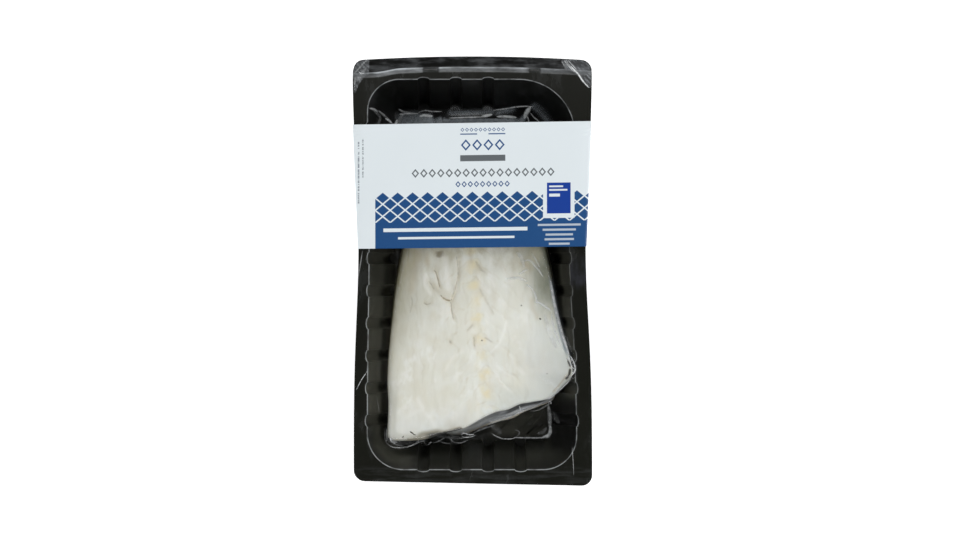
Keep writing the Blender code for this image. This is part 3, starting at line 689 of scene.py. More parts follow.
# Fillet
fillet = {
    # plan outline of the top edge from the bottom left corner round, drawn as one smooth curve
    "outline": (
        (-52.7, -99.5), (-52.2, -103.4), (-49.0, -105.4), (-41.0, -105.7), (-32.5, -105.2), (-26.4, -104.0),
        (-20.6, -102.0), (-13.6, -100.3), (-4.2, -97.5), (7.3, -91.1), (14.7, -87.8), (22.2, -86.2),
        (29.6, -82.9), (37.0, -81.6), (48.3, -79.0), (55.6, -72.0), (61.4, -65.4), (62.2, -60.5),
        (60.4, -51.0), (56.5, -36.6), (53.1, -17.0), (50.3, 0.0), (47.0, 14.0),
        (41.0, 46.0), (31.0, 77.0), (10.0, 90.0), (-16.0, 87.0), (-32.5, 63.0), (-44.2, 14.0),
        (-47.5, -2.0), (-48.8, -12.0), (-50.0, -24.0), (-51.7, -44.0), (-52.8, -66.0), (-52.2, -84.0)),
    "spineTop": (-2.5, 48.0), "spineBottom": (6.0, -56.0), "fan": 0.2,
    "plateau": 21.0, "tailPlateau": 14.5, "tailY": (10.0, 88.0), "tipThickness": 3.0, "tipTop": 29.4,
    "shoulderRun": 30.0, "evenOut": 9.0,
    "skirt": 0.6, "cutSkirt": 7.4, "cutFrom": (-16.0, -102.2), "cutTo": (51.0, -77.0),
    "footLift": 1.5, "gap": 0.3,
    # columns round the mesh, then its rows: underneath, on the lower round, up the skirt,
    # in from the edge and over the top
    "columns": 620, "underRows": (9.0, 6.0, 3.0, 1.5), "roundRows": (0, 0.3, 0.6, 0.85, 1.0), "skirtRows": 10,
    "edgeRows": (0, 0.25, 0.6, 1.0, 1.5, 2.0, 2.6, 3.3, 4.1, 5.0, 6.0, 7.2, 8.8), "topRows": 64,
    # the inward attribute below the edge: underneath, on the lower round and at the skirt's foot
    "underMark": -20.0, "roundMark": -18.0, "skirtMark": -16.0,
    "edgeShare": (0.86, 0.90), "roundRun": (5.0, 2.2),  # along the sides and along the cut
    "grooveDepth": 0.9, "grooveHalfWidth": 7.0, "swell": 0.5, "swellLength": 46.0,
    "lump": 0.35, "flakeLumps": 0.55, "flakePitch": 11.3, "flakeDepth": 0.28, "flakeStart": 14.6,
    # cracks between flakes: depth, half width, then points
    "cracks": (
        (1.0, 0.8, (-24.4, 1.7), (-22.6, -4.0), (-20.6, -10.2)),
        (0.8, 1.0, (-29.0, -2.4), (-24.6, -12.2), (-18.6, -17.4), (-13.4, -19.2), (-10.0, -13.0),
         (-8.6, -2.0), (-8.8, 6.0)),
        (0.5, 0.8, (-13.4, -19.6), (-12.6, -28.2), (-10.6, -32.0)),
        (0.5, 0.7, (-30.6, -20.0), (-28.6, -21.6), (-25.6, -20.8)),
        (0.4, 0.6, (-38.4, -18.2), (-37.8, -25.2)),
        (0.4, 0.7, (1.2, -40.2), (1.4, -46.0)),
    ),
    # soft tan shades in the flesh: strength, half width, then points
    "seams": (
        (0.42, 1.2, (-24.8, 0.0), (-23.2, -0.6), (-21.9, -4.2), (-20.3, -10.6)),
        (0.30, 2.2, (-27.4, -6.0), (-24.0, -10.6), (-19.6, -14.0)),
        (0.50, 1.4, (-18.6, -16.6), (-16.0, -18.0), (-13.0, -18.8)),
        (0.40, 1.2, (-13.2, -18.4), (-11.4, -14.6), (-9.8, -9.6), (-8.6, -2.0), (-8.8, 8.0)),
        (0.30, 1.2, (-13.2, -19.6), (-12.8, -25.4), (-11.4, -30.2)),
        (0.30, 1.2, (-30.4, -19.6), (-28.0, -20.8), (-25.8, -19.8)),
        (0.35, 1.2, (-3.0, -37.0), (-1.0, -34.6), (0.4, -33.6)),
        (0.40, 1.1, (0.9, -40.6), (1.1, -45.2), (1.5, -48.0)),
        (0.25, 1.0, (4.6, -11.0), (8.0, -17.0), (13.2, -26.6)),
        (0.30, 1.1, (2.4, 5.6), (8.0, -0.8)),
        (0.25, 1.1, (8.0, -41.4), (12.4, -44.2)),
        (0.55, 1.5, (-29.4, 10.6), (-28.8, 4.6)),
        (0.40, 1.4, (-34.0, 12.0), (-34.8, 6.0)),
        (0.60, 1.1, (-13.9, -43.4), (-13.5, -45.0)),
        (0.40, 2.4, (-36.0, 12.0), (-37.4, 0.0), (-39.6, -12.0)),
        (0.45, 1.2, (-1.8, 13.6), (-0.4, 6.0)),
        (0.45, 1.5, (31.0, 4.6), (35.0, 4.2), (37.4, 1.0)),
        (0.40, 1.6, (38.2, -18.0), (38.8, -23.0), (41.6, -29.0)),
        (0.9, 0.5, (50.6, -74.9), (53.8, -71.6), (56.6, -67.8), (59.0, -64.2)),
        (0.6, 0.5, (54.4, -74.4), (58.0, -70.6), (61.2, -66.6)),
        (0.30, 2.6, (-14.0, -94.0), (-12.4, -97.6), (-10.0, -99.0)),
    ),
    # pale arcs along the flakes, and a painted highlight along the lower left edge
    "arcs": (
        (0.9, 0.8, (21.9, -31.3), (20.4, -37.3), (16.9, -45.4), (11.8, -50.4)),
        (0.6, 1.5, (-33.9, -79.5), (-31.2, -84.4), (-29.6, -88.4), (-25.4, -92.2), (-23.4, -96.0)),
        (0.4, 1.6, (-46.2, -88.0), (-43.1, -85.2), (-41.0, -84.2)),
        (0.4, 1.5, (-40.9, -90.5), (-35.5, -87.4), (-33.0, -87.0)),
        (0.4, 1.6, (-4.3, -80.7), (-8.3, -87.8), (-12.4, -91.9)),
        (0.6, 1.0, (-17.0, -62.0), (-12.6, -54.0), (-6.0, -50.0)),
        (0.7, 1.4, (-30.0, -2.0), (-31.0, -8.0), (-27.0, -14.0)),
        (0.8, 2.0, (-17.6, 8.0), (-16.4, -2.0), (-15.4, -11.0)),
        (0.6, 1.4, (4.0, -2.0), (6.6, -9.0), (11.0, -13.0)),
        (0.6, 1.2, (12.6, 8.0), (11.0, -2.0), (14.0, -9.4)),
        (0.4, 0.9, (-50.8, -84.0), (-50.4, -92.0), (-50.4, -103.0)),
        (0.5, 1.2, (24.0, -52.0), (27.4, -60.0), (32.4, -64.0)),
        (0.5, 1.0, (14.0, -62.0), (18.0, -70.0), (25.0, -75.0)),
    ),
    # painted grey shade along the lower edge where it rounds under, and at the right corner
    "worn": (
        (0.85, 3.4, (-38.5, -107.0), (-33.0, -105.6)),
        (1.00, 4.9, (-29.6, -105.0), (-21.6, -103.8)),
        (1.00, 2.2, (-22.0, -102.2), (-14.0, -100.9), (-8.0, -99.2)),
        (0.95, 0.7, (60.4, -55.6), (61.6, -58.6)),
        (1.00, 0.8, (61.4, -61.0), (60.6, -64.4), (58.8, -66.4)),
        (0.45, 0.9, (-49.0, -106.0), (-36.0, -106.6)),
    ),
}


def filletEdge(count):
    # Evenly spaced points on a closed curve through the outline
    knots = np.array(fillet["outline"])
    t = np.arange(0, 1, 1 / 24)[:, None]
    curve = []
    for k in range(len(knots)):
        a, b, c, d = (knots[(k + j) % len(knots)] for j in (-1, 0, 1, 2))
        curve.append(throughPoints(a, b, c, d, t))
    return evenly(np.concatenate(curve + [curve[0][:1]]), count, endpoint=False)


def spineX(y):
    # The middle line that the top's rows run to
    (x0, y0), (x1, y1) = fillet["spineBottom"], fillet["spineTop"]
    return x0 + (x1 - x0) * (np.clip(y, y0, y1) - y0) / (y1 - y0)


def cutShare(edge):
    # 1 at the middle of the slanted cut, 0 past its ends
    start, end = np.array(fillet["cutFrom"]), np.array(fillet["cutTo"])
    t = (edge - start) @ (end - start) / ((end - start) @ (end - start))
    near = edge[:, 1] < start[1] + (end[1] - start[1]) * t + 12
    return np.where((t > 0) & (t < 1) & near, np.sin(np.pi * np.clip(t, 0, 1)) ** 0.55, 0.0)


def plateau(x, y):
    # The top's height away from the edge, lower towards the thin end
    low, high = fillet["tailY"]
    t = np.clip((y - low) / (high - low), 0, 1)
    height = between((fillet["plateau"], fillet["tailPlateau"]), t * t)
    off = (x - spineX(y)) / fillet["grooveHalfWidth"]
    height = height - fillet["grooveDepth"] * np.exp(-off * off)
    height = height + fillet["swell"] * np.sin(2 * np.pi * (y + 0.4 * np.abs(x)) / fillet["swellLength"])
    return height + fillet["lump"] * noiseAt(x / 17, y / 24, 0 * x, 3)


class FilletForm:
    # The fillet's section lines, which the film over it shares
    def __init__(self, count):
        self.edge, self.along = filletEdge(count)
        self.spine = np.column_stack([spineX(self.edge[:, 1]), np.clip(
            self.edge[:, 1], fillet["spineBottom"][1], fillet["spineTop"][1])])
        inner = self.spine + np.array([[1, 0]]) * fillet["fan"] * (self.edge - self.spine)[:, :1]
        self.out = (self.edge - inner) / np.hypot(*(self.edge - inner).T)[:, None]
        self.run = np.hypot(*(self.edge - self.spine).T)
        self.cut = cutShare(self.edge)
        self.skirt = between((fillet["skirt"], fillet["cutSkirt"]), self.cut)
        crisp = smooth(self.cut, 0, 0.5)
        self.edgeShare = between(fillet["edgeShare"], crisp)
        self.roundRun = between(fillet["roundRun"], crisp)
        self.first = np.minimum(0.9, 9.8 / self.run)  # share of the way at which the top's rows start
        foot = self.edge + self.out * self.skirt[:, None]
        self.footZ = softMin(self.resting(foot) + fillet["footLift"], fillet["tipTop"] - 1.3, 0.6)
        # the foot's height again, evened out along the edge, for the flesh further in
        spread = round(fillet["evenOut"] * count / self.along[-1])
        weights = np.exp(-((np.arange(-2 * spread, 2 * spread + 1) / spread) ** 2))
        around = np.concatenate([self.footZ[-2 * spread:], self.footZ, self.footZ[:2 * spread]])
        self.evenZ = np.convolve(around, weights / weights.sum(), "valid")

    def resting(self, spots):
        return wallHeight(rimInset(*spots.T), tray["rimRound"], tray["footRound"]) + fillet["gap"]

    def top(self, inward, share=None):
        # Points of the top face at a distance in from the edge, or a share of the way to the spine
        way = np.minimum(1, inward / self.run) if share is None else share
        spots = self.edge + (self.spine - self.edge) * np.reshape(way, (-1, 1))
        inward = way * self.run
        level = plateau(*spots.T)
        high = softMin(softMax(level, self.evenZ + fillet["tipThickness"], 4.0), fillet["tipTop"], 0.6)
        rim = softMax(high, self.footZ + 1.1, 0.8)
        high = rim + (high - rim) * smooth(inward, 0, 9)
        high = high + (level - high) * smooth(inward, 0, fillet["shoulderRun"])
        t = np.clip(1 - inward / self.roundRun, 0, 1)
        part = 1 - (1 - self.edgeShare) * t**3
        return np.column_stack([spots, self.footZ + (high - self.footZ) * part]), inward


def flakeRelief(x, y):
    # Grooves between flakes, as chevrons that fall away from the middle line, and the flakes' own lumps
    off = np.abs(x - spineX(y))
    wobble = noiseAt(x / 9, y / 9, 0 * x, 11)
    turn = (y - fillet["flakeStart"] + 0.9 * off + 4.5 * wobble) / fillet["flakePitch"]
    share = turn - np.floor(turn)
    line = np.exp(-(((share - 0.5) / 0.09) ** 2))
    fade = (1 - smooth(off, 14, 34)) * (0.3 + 0.7 * smooth(noiseAt(x / 13, y / 13, 0 * x, 5), -0.2, 0.3))
    lumps = noiseAt(x / 6.5, y / 10, 0 * x, 8)
    raised = fillet["flakeLumps"] * smooth(y + 0.4 * x, -45, 5) * lumps
    streaks = 0.16 * noiseAt((x - spineX(y)) / 2.6, y / 30, 0 * x, 21)
    return raised + streaks - strokes(x, y, fillet["cracks"]) - fillet["flakeDepth"] * line * fade


def filletSheet():
    form = FilletForm(fillet["columns"])
    rows, inwards = [], []

    def add(spots, height, inward):
        rows.append(np.column_stack([spots, height]))
        inwards.append(np.broadcast_to(inward, len(spots)))

    foot = form.edge + form.out * form.skirt[:, None]
    for back in fillet["underRows"]:
        spots = foot - form.out * back
        add(spots, form.resting(spots), fillet["underMark"])
    for t in fillet["roundRows"]:
        spots = foot - form.out * 0.8 * (1 - math.sin(t * math.pi / 2))
        lift = fillet["footLift"] * (1 - math.cos(t * math.pi / 2))
        add(spots, form.resting(foot) + lift, fillet["roundMark"] + t)
    edgeTop, _ = form.top(0.0)
    for t in np.linspace(0.1, 0.92, fillet["skirtRows"]):
        bulge = form.skirt * (1 - t) + 0.25 * math.sin(math.pi * t)
        spots = form.edge + form.out * bulge[:, None]
        add(spots, form.footZ + (edgeTop[:, 2] - form.footZ) * t, fillet["skirtMark"] * (1 - t))
    for inward in fillet["edgeRows"]:
        spots, _ = form.top(inward)
        add(spots[:, :2], spots[:, 2], inward)
    for share in np.linspace(0, 0.985, fillet["topRows"]) ** 0.92:
        spots, inward = form.top(None, between((form.first, 1), share))
        add(spots[:, :2], spots[:, 2], inward)
    points, inwards = np.concatenate(rows), np.concatenate(inwards)
    x, y, z = points.T
    z = z + smooth(inwards, 0.3, 5) * flakeRelief(x, y)
    columns = len(form.edge)
    attributes = {"inward": inwards, "cut": np.tile(form.cut, len(rows))}
    attributes.update({key: strokes(x, y, fillet[key]) for key in ("seams", "arcs", "worn")})
    item = addMesh("codFillet", squeezed(np.column_stack([x, y, z])),
                   gridFaces(len(rows), columns, True), codFlesh, attributes)
    addFill(item, list(range(columns)))
    addFill(item, list(range(len(points) - columns, len(points))))
    faceOut(item)
    return item


codFlesh, start = newMaterial("codFlesh")
place = millimetres(start)
sway = start.node("ShaderNodeTexNoise", None, {"Vector": place, "Scale": 0.11, "Detail": 2.0}, output="Color")
sway = sway.node("ShaderNodeVectorMath", {"operation": "MULTIPLY_ADD"}, {
    0: sway, 1: (9.0, 9.0, 0.0), 2: (-4.5, -4.5, 0.0)})
loosePlace = place.node("ShaderNodeVectorMath", {"operation": "ADD"}, {0: place, 1: sway})
x, y, z = place.parts()
bentX, bentY, _ = loosePlace.parts()
inward, cut, seams, arcs, worn = (
    start.attribute(name) for name in ("inward", "cut", "seams", "arcs", "worn"))
middle = bentX + y * 0.112 - 0.4
clouds = place.grain(0.045, 4.0)
lumps = place.stretched(1.0, 0.6, 0.5).grain(0.13, 4.0, 0.6)
fibres = loosePlace.stretched(1.0, 0.10, 0.3).grain(0.42, 4.0, 0.6)
veins = loosePlace.stretched(1.0, 0.2, 0.3).grain(0.9, 3.0, 0.6)
tone = clouds.rise(0.35, 0.65).blend((0.730, 0.727, 0.640, 1), (0.782, 0.790, 0.725, 1))
tone = (lumps.rise(0.45, 0.72) * 0.40).blend(tone, (0.66, 0.63, 0.515, 1))
tone = (fibres.rise(0.50, 0.75) * 0.34).blend(tone, (0.57, 0.545, 0.430, 1))
tone = (veins.rise(0.58, 0.74) * 0.25).blend(tone, (0.88, 0.88, 0.85, 1))
whites = place.stretched(1.0, 0.75, 0.5).grain(0.085, 5.0, 0.65)
tone = (whites.rise(0.53, 0.66) * 0.55).blend(tone, (0.865, 0.875, 0.84, 1))
# cream patches along the middle line, one for each flake
beat = ((bentY - fillet["flakeStart"]) * (2 * math.pi / fillet["flakePitch"])).math("COSINE")
patchy = place.grain(0.12, 2.0, 0.6).rise(0.34, 0.62).math("MAXIMUM", y.rise(-26.0, -12.0) * 0.8)
patches = middle.hump(0.0, 5.6) * beat.rise(-1.3, 1.0) * patchy
tone = (patches * 0.80).blend(tone, (0.79, 0.70, 0.43, 1))
cream = middle.hump(0.0, 9.0) * lumps.rise(0.35, 0.6)
tone = (cream * 0.35).blend(tone, (0.77, 0.71, 0.53, 1))
# edges of the flakes
seam = (y - fillet["flakeStart"] + middle.math("ABSOLUTE") * 0.9 + (bentY - y) * 1.4) / fillet["flakePitch"]
seam = (1 - seam.zigzag().rise(0.0, 0.07)) * (1 - middle.math("ABSOLUTE").rise(12.0, 32.0))
seam = seam * fibres.rise(0.40, 0.55)
tone = (seam * 0.30).blend(tone, (0.56, 0.49, 0.34, 1))
# neutral and wetter towards the cut end
lowEnd = 1 - (y + lumps * 14.0).rise(-92.0, -72.0)
lowEnd = lowEnd.math("MAXIMUM", (x + lumps * 12.0).rise(30.0, 46.0) * (1 - y.rise(-42.0, -26.0)) * 0.9)
tone = (lowEnd * 0.55).blend(tone, (0.72, 0.745, 0.725, 1))
# thin, see-through flesh with painted shade: it darkens to both sides, more so towards the sleeve
reachIn = 5.0 + y.rise(-65.0, -15.0) * 12.0
leftShade = ((inward * -1.0) / reachIn).math("EXPONENT") * (0.50 + 0.42 * y.rise(-70.0, 2.0))
leftShade = leftShade * (1 - x.rise(-14.0, 4.0)) * (1 - (inward.rise(11.0, 21.0) * y.rise(-12.0, 4.0)) * 0.7)
leftShade = leftShade * (0.72 + 0.56 * fibres)
tone = leftShade.blend(tone, (0.200, 0.186, 0.108, 1))
lowStrip = inward.band(1.6, 6.4, 1.4) * (1 - x.rise(-34.0, -24.0)) * (1 - y.rise(-84.0, -62.0))
tone = (lowStrip * 0.30).blend(tone, (0.42, 0.42, 0.36, 1))
rightShade = (1 - (inward + lumps * 8.0 - 4.0).rise(0.0, 24.0)) * x.rise(4.0, 22.0)
rightTone = y.rise(-40.0, -16.0).blend((0.37, 0.42, 0.40, 1), (0.170, 0.182, 0.130, 1))
rightShade = rightShade * (0.34 + 0.60 * y.rise(-36.0, -8.0)) * (0.80 + 0.40 * fibres)
tone = rightShade.blend(tone, rightTone)
foldShade = (x + lumps * 3.0).rise(38.6, 40.8) * y.band(-19.0, 3.0, 2.0)
tone = (foldShade * 0.22).blend(tone, (0.155, 0.165, 0.115, 1))
# painted bluish shade along the right edge
rightEdgeShade = (1 - inward.rise(0.8, 2.4)) * x.rise(40.0, 46.0) * y.band(-52.0, -6.0, 4.0)
tone = (rightEdgeShade * 0.8).blend(tone, (0.235, 0.280, 0.310, 1))
# painted shadow under the sleeve, in patches
sleeveShadow = (y + lumps * 16.0).rise(0.0, 22.0)
tone = (sleeveShadow * (0.05 + 0.50 * lumps.rise(0.35, 0.65))).blend(tone, (0.42, 0.39, 0.265, 1))
brownSpot = 1 - (((bentX + 20.6) / 3.2) ** 2 + ((bentY - 10.4) / 3.4) ** 2).rise(0.1, 1.3)
tone = (brownSpot * 0.8).blend(tone, (0.22, 0.18, 0.110, 1))
# lines between flakes, and painted shade along the lower edge
tone = (arcs * 0.45).blend(tone, (0.94, 0.94, 0.91, 1))
tone = (seams * (0.35 + 0.5 * lumps)).blend(tone, (0.40, 0.32, 0.19, 1))
lowEdgeShadeTone = worn.rise(0.35, 0.80) * x.rise(-31.0, -25.0)
lowEdgeShadeTone = lowEdgeShadeTone.blend((0.31, 0.295, 0.235, 1), (0.060, 0.061, 0.056, 1))
tone = worn.rise(0.12, 0.50).blend(tone, lowEdgeShadeTone)
# cut face: painted grey shade, darkest under its top edge, with a tan line along its foot
face = cut.rise(0.02, 0.20) * (1 - inward.rise(-0.3, 0.3))
cutStreaks = place.turned(-0.42).stretched(0.16, 1.0, 0.4).grain(0.6, 4.0, 0.6)
shadedFace = cutStreaks.rise(0.30, 0.70).blend((0.20, 0.21, 0.215, 1), (0.46, 0.48, 0.49, 1))
shadedFace = (1 - x.rise(-8.0, 14.0)).blend(shadedFace, (0.46, 0.47, 0.45, 1))
upFace = inward + cutStreaks * 3.0
topShade = upFace.rise(-7.0, -3.0) * x.band(20.0, 46.0, 3.0) * 0.85
shadedFace = topShade.blend(shadedFace, (0.035, 0.036, 0.037, 1))
topShade = upFace.rise(-5.0, -1.0) * x.band(-2.0, 18.0, 3.0) * 0.55
shadedFace = topShade.blend(shadedFace, (0.14, 0.14, 0.135, 1))
tone = face.blend(tone, shadedFace)
creamFoot = x.rise(6.0, 16.0).blend((0.42, 0.38, 0.30, 1), (0.86, 0.80, 0.64, 1))
tone = (face * inward.band(-16.5, -12.4, 0.8) * 0.85).blend(tone, creamFoot)
underneath = 1 - z.rise(2.4, 4.2)
tone = underneath.blend(tone, place.grain(0.5).blend((0.10, 0.105, 0.10, 1), (0.26, 0.27, 0.26, 1)))
relief = fibres * 0.5 + lumps * 0.5 + veins * 0.2 + place.grain(1.3, 3.0) * 0.25
surface(principled(start, tone, 0.45 + clouds * 0.1, {
    "Subsurface Weight": 0.2, "Subsurface Radius": (1.0, 0.8, 0.55), "Subsurface Scale": 0.002,
    "Normal": relief.bump(0.4, 0.0007)}))
codFillet = filletSheet()
finished(codFillet, "cod_flesh", "fillet", angle=60)


def onTop(items):
    # Looks straight down for the highest surface of the pieces
    trees = []
    for item in items:
        faces = [p.vertices for p in item.data.polygons]
        trees.append(BVHTree.FromPolygons([v.co for v in item.data.vertices], faces))

    def height(x, y):
        hits = [tree.ray_cast(Vector((x * mm, y * mm, 0.1)), Vector((0, 0, -1)))[0] for tree in trees]
        return max([hit.z for hit in hits if hit] or [pack["flangeZ"] * mm]) / mm

    return height


def curvePoints(knots, spacing):
    # Points on an open smooth curve through the knots, about the spacing apart
    knots = [Vector(k) for k in knots]
    knots = [2 * knots[0] - knots[1]] + knots + [2 * knots[-1] - knots[-2]]
    points = []
    for a, b, c, d in zip(knots, knots[1:], knots[2:], knots[3:]):
        pieces = max(2, round((c - b).length / spacing))
        for t in (k / pieces for k in range(pieces)):
            points.append(throughPoints(a, b, c, d, t))
    return [tuple(p) for p in points] + [tuple(knots[-2])]


ribbon = {"width": 1.0, "thickness": 0.08, "spacing": 0.7, "sides": 8, "endShare": 0.1}


def ribbonTree(name, material):
    # Flat ribbons that taper to both ends, along each line of the mesh
    tree, start, given = newTree(name, "Width", "Thickness")
    line = start.node("GeometryNodeMeshToCurve", None, {"Mesh": given("Geometry")})
    line = line.node("GeometryNodeSetCurveNormal", {"mode": "Z_UP"}, {"Curve": line})
    part = start.node("GeometryNodeSplineParameter")
    taper = (part * (1 - part) * 4.0).math("MAXIMUM", 0.0).math("SQRT")
    taper = taper * (1 - ribbon["endShare"]) + ribbon["endShare"]
    ring = start.node("GeometryNodeCurvePrimitiveCircle", None, {
        "Resolution": ribbon["sides"], "Radius": 1.0})
    across = start.node("GeometryNodeInputPosition").parts()[0]
    ring = ring.node("GeometryNodeStoreNamedAttribute", {"data_type": "FLOAT", "domain": "POINT"}, {
        "Geometry": ring, "Name": "across", "Value": across})
    size = start.node("ShaderNodeCombineXYZ", None, {
        "X": given("Width") / 2, "Y": given("Thickness") / 2, "Z": 1.0})
    ring = ring.node("GeometryNodeTransform", None, {"Geometry": ring, "Scale": size})
    swept = line.node("GeometryNodeCurveToMesh", None, {
        "Curve": line, "Profile Curve": ring, "Scale": start.stored("width") * taper, "Fill Caps": True})
    closeTree(swept, material)
    return tree


def addRibbons(name, lines, topOf, lift, material, slot):
    # Lines given as (strength, width, points...) in plan, laid on a surface as ribbons
    points, edges, strengths, widths = [], [], [], []
    for strength, width, *knots in lines:
        run = curvePoints(knots, ribbon["spacing"])
        tops = [topOf(px, py) for px, py in run]
        for k, (px, py) in enumerate(run):
            near = tops[max(0, k - 1):k + 2]
            points.append((px, py, sum(near) / len(near) + lift))
            widths.append(width)
            strengths.append(strength)
            if k:
                edges.append((len(points) - 2, len(points) - 1))
    item = addMesh(name, points, [], material, {"width": widths, "strength": strengths}, edges)
    addTree(item, ribbonTree(name, material), {
        "Width": ribbon["width"] * mm, "Thickness": ribbon["thickness"] * mm})
    finished(item, slot, angle=80)


def softLine(name, colour, rough):
    # A see-through line, strongest along its middle
    material, start = newMaterial(name)
    strength, across = start.attribute("strength"), start.attribute("across")
    patchy = millimetres(start).grain(0.45, 3.0, 0.6).rise(0.30, 0.66)
    cover = (strength * (1 - across * across) * (0.55 + 0.75 * patchy)).math("MINIMUM", 1.0)
    surface(overClear(cover, colour, rough))
    return material


fleshTop = onTop([codFillet])

# Thin tan lines where flakes part: strength, width, then points
tanLines = (
    (0.20, 2.0, (-24.4, 0.2), (-23.2, -0.4), (-22.0, -4.0), (-20.4, -10.4)),
    (0.09, 2.4, (-27.4, -6.4), (-25.4, -9.0), (-23.6, -11.2)),
    (0.30, 2.3, (-19.8, -14.6), (-17.4, -16.8), (-14.8, -18.0), (-12.6, -17.6)),
    (0.11, 2.0, (-13.0, -17.1), (-11.8, -14.0), (-10.4, -9.0), (-9.2, -3.0), (-9.3, 3.4), (-9.8, 9.0)),
    (0.14, 1.9, (-13.5, -19.0), (-13.0, -25.3), (-11.6, -30.2)),
    (0.10, 1.8, (-30.6, -19.6), (-28.2, -20.6), (-25.8, -19.8)),
    (0.09, 1.9, (-3.2, -37.2), (-1.2, -34.8), (0.3, -33.3)),
    (0.04, 1.8, (4.6, -11.0), (8.2, -17.2), (13.4, -26.8)),
    (0.08, 1.8, (7.6, -41.2), (10.0, -42.4), (12.6, -44.2)),
    (0.12, 1.8, (0.8, -40.9), (1.1, -45.2), (1.5, -47.6)),
    (0.12, 1.8, (-14.3, -43.6), (-12.9, -45.0)),
    (0.07, 2.0, (2.0, 6.2), (5.0, 1.4), (8.0, -0.8)),
    (0.08, 1.9, (-37.8, -15.6), (-37.6, -20.2), (-38.6, -26.0)),
)
flakeTan = softLine("flakeTan", (0.52, 0.42, 0.24, 1), 0.5)
addRibbons("flakeSeams", tanLines, fleshTop, 0.03, flakeTan, "cod_flesh")

# Dark bits of skin, one small pebble instanced on each
darkBit, start = newMaterial("darkBit")
bitTone = millimetres(start).grain(1.5).blend((0.012, 0.011, 0.009, 1), (0.07, 0.055, 0.035, 1))
surface(principled(start, bitTone, 0.5))
bits = {
    "thickness": 0.12, "lift": 0.02,
    # x, y, half length, half width, turn
    "places": (
        (-37.6, -100.4, 1.5, 0.45, -0.55), (-35.9, -101.7, 1.0, 0.28, -0.15), (-43.0, -103.0, 0.8, 0.3, 1.2),
        (30.5, -21.4, 0.42, 0.42, 0.0), (42.2, -29.8, 0.75, 0.5, -0.7), (52.4, -29.3, 0.42, 0.42, 0.0),
        (6.0, -43.2, 0.5, 0.38, 0.0), (46.4, -63.6, 0.35, 0.3, 0.0),
    ),
}


def bitTree():
    tree, start, given = newTree("skinBits", "Thickness")
    pebble = start.node("GeometryNodeMeshIcoSphere", None, {"Radius": 1.0, "Subdivisions": 2})
    size, turn = start.stored("size", "FLOAT_VECTOR"), start.stored("turn", "FLOAT_VECTOR")
    shape = size.node("ShaderNodeVectorMath", {"operation": "MULTIPLY_ADD"}, {
        0: size, 1: (1, 1, 0), 2: start.node("ShaderNodeCombineXYZ", None, {"Z": given("Thickness")})})
    spots = start.node("GeometryNodeMeshToPoints", None, {"Mesh": given("Geometry")})
    placed = spots.node("GeometryNodeInstanceOnPoints", None, {
        "Points": spots, "Instance": pebble, "Rotation": turn, "Scale": shape})
    closeTree(placed, darkBit)
    return tree


spots = [(px, py, fleshTop(px, py) + bits["lift"]) for px, py, *_ in bits["places"]]
skinBits = addMesh("skinBits", spots, [], darkBit, {
    "size": [(long * mm, wide * mm, 0) for _, _, long, wide, _ in bits["places"]],
    "turn": [(0, 0, turn) for *_, turn in bits["places"]]})
addTree(skinBits, bitTree(), {"Thickness": bits["thickness"] * mm})
finished(skinBits, "cod_flesh")

# Film
film = {
    "thickness": 0.12, "gap": 0.35, "standoff": 0.45, "margin": 1.3, "corner": 5.5, "stepMargin": 0.7,
    "drape": 2.6, "cutDrape": 4.0, "tailDrape": 5.5, "rimRound": 0.5, "footRound": 3.0,
    "fold": 0.7, "foldLength": 11.0, "foldPitch": 2.6, "wallShift": 0.35, "seat": 0.1,
    "nearFoot": 2.6, "topCap": 0.9,  # how far the film hangs loose from the foot; its height over the flange
    # columns round the mesh, then its rows: on the flange, down the wall, up to the fillet,
    # in from its edge and over its top
    "columns": 560, "flangeRows": (0, 0.04, 0.35, 0.7, 1.0),
    "wallRows": (-1.2, -0.7, -0.3, 0.0, 0.4, 0.9, 1.8, 4, 7, 10, 12.7, 14.2, 15.1, 15.8, 16.5, 17.4, 18.4),
    "skirtRows": 24, "edgeRows": (0.4, 0.9, 1.6, 2.5, 3.7, 5.2, 7, 8.6), "topRows": 24,
    # where the film's edge follows the step
    "stepPlaces": (54, 36, 18, 0, -18, -36, -42, -48, -54, -60, -66),
    "clingGloss": 0.12, "looseGloss": 0.75,
    # the slope past the thin end of the fillet, clouded and with a painted reflection: its upper border
    "slopeAt": (-45.5, -40.0, -34.0, -25.0, -15.0, 33.0),
    "slopeTop": (91.5, 95.4, 97.4, 96.3, 95.8, 96.3), "slopeHazeAndSheen": 0.42,
    # milky places: strength, half width, then points
    "milky": (
        (0.12, 1.8, (-46.2, 96.4), (-40.0, 98.3), (-36.0, 98.6)),
        (0.14, 1.4, (-13.9, 99.5), (0.0, 99.6), (12.3, 100.1)),
        (0.18, 1.3, (16.0, 99.5), (20.0, 100.6), (25.4, 101.6)),
        (0.16, 1.2, (37.8, 103.2), (42.1, 100.1), (45.9, 95.8), (47.7, 93.3)),
    ),
}
clearFilm, start = newMaterial("clearFilm")
place = millimetres(start)
streaks = place.stretched(1.0, 0.5, 0.7).grain(0.5, 4.0, 0.65).rise(0.30, 0.72)
# haze of the film, with a painted reflection on the slope past the fillet's thin end
hazeAndSheen = start.attribute("hazeAndSheen") * (0.8 + 0.4 * streaks)
surface(filmGloss(overClear(hazeAndSheen, (0.66, 0.72, 0.77, 1), 0.35), start.attribute("loose"), 0.09))


def filmHeight(inset):
    # Height of the film over the tray's wall and floor
    height = wallHeight(inset - film["wallShift"], film["rimRound"], film["footRound"])
    return height + film["gap"] - film["seat"]


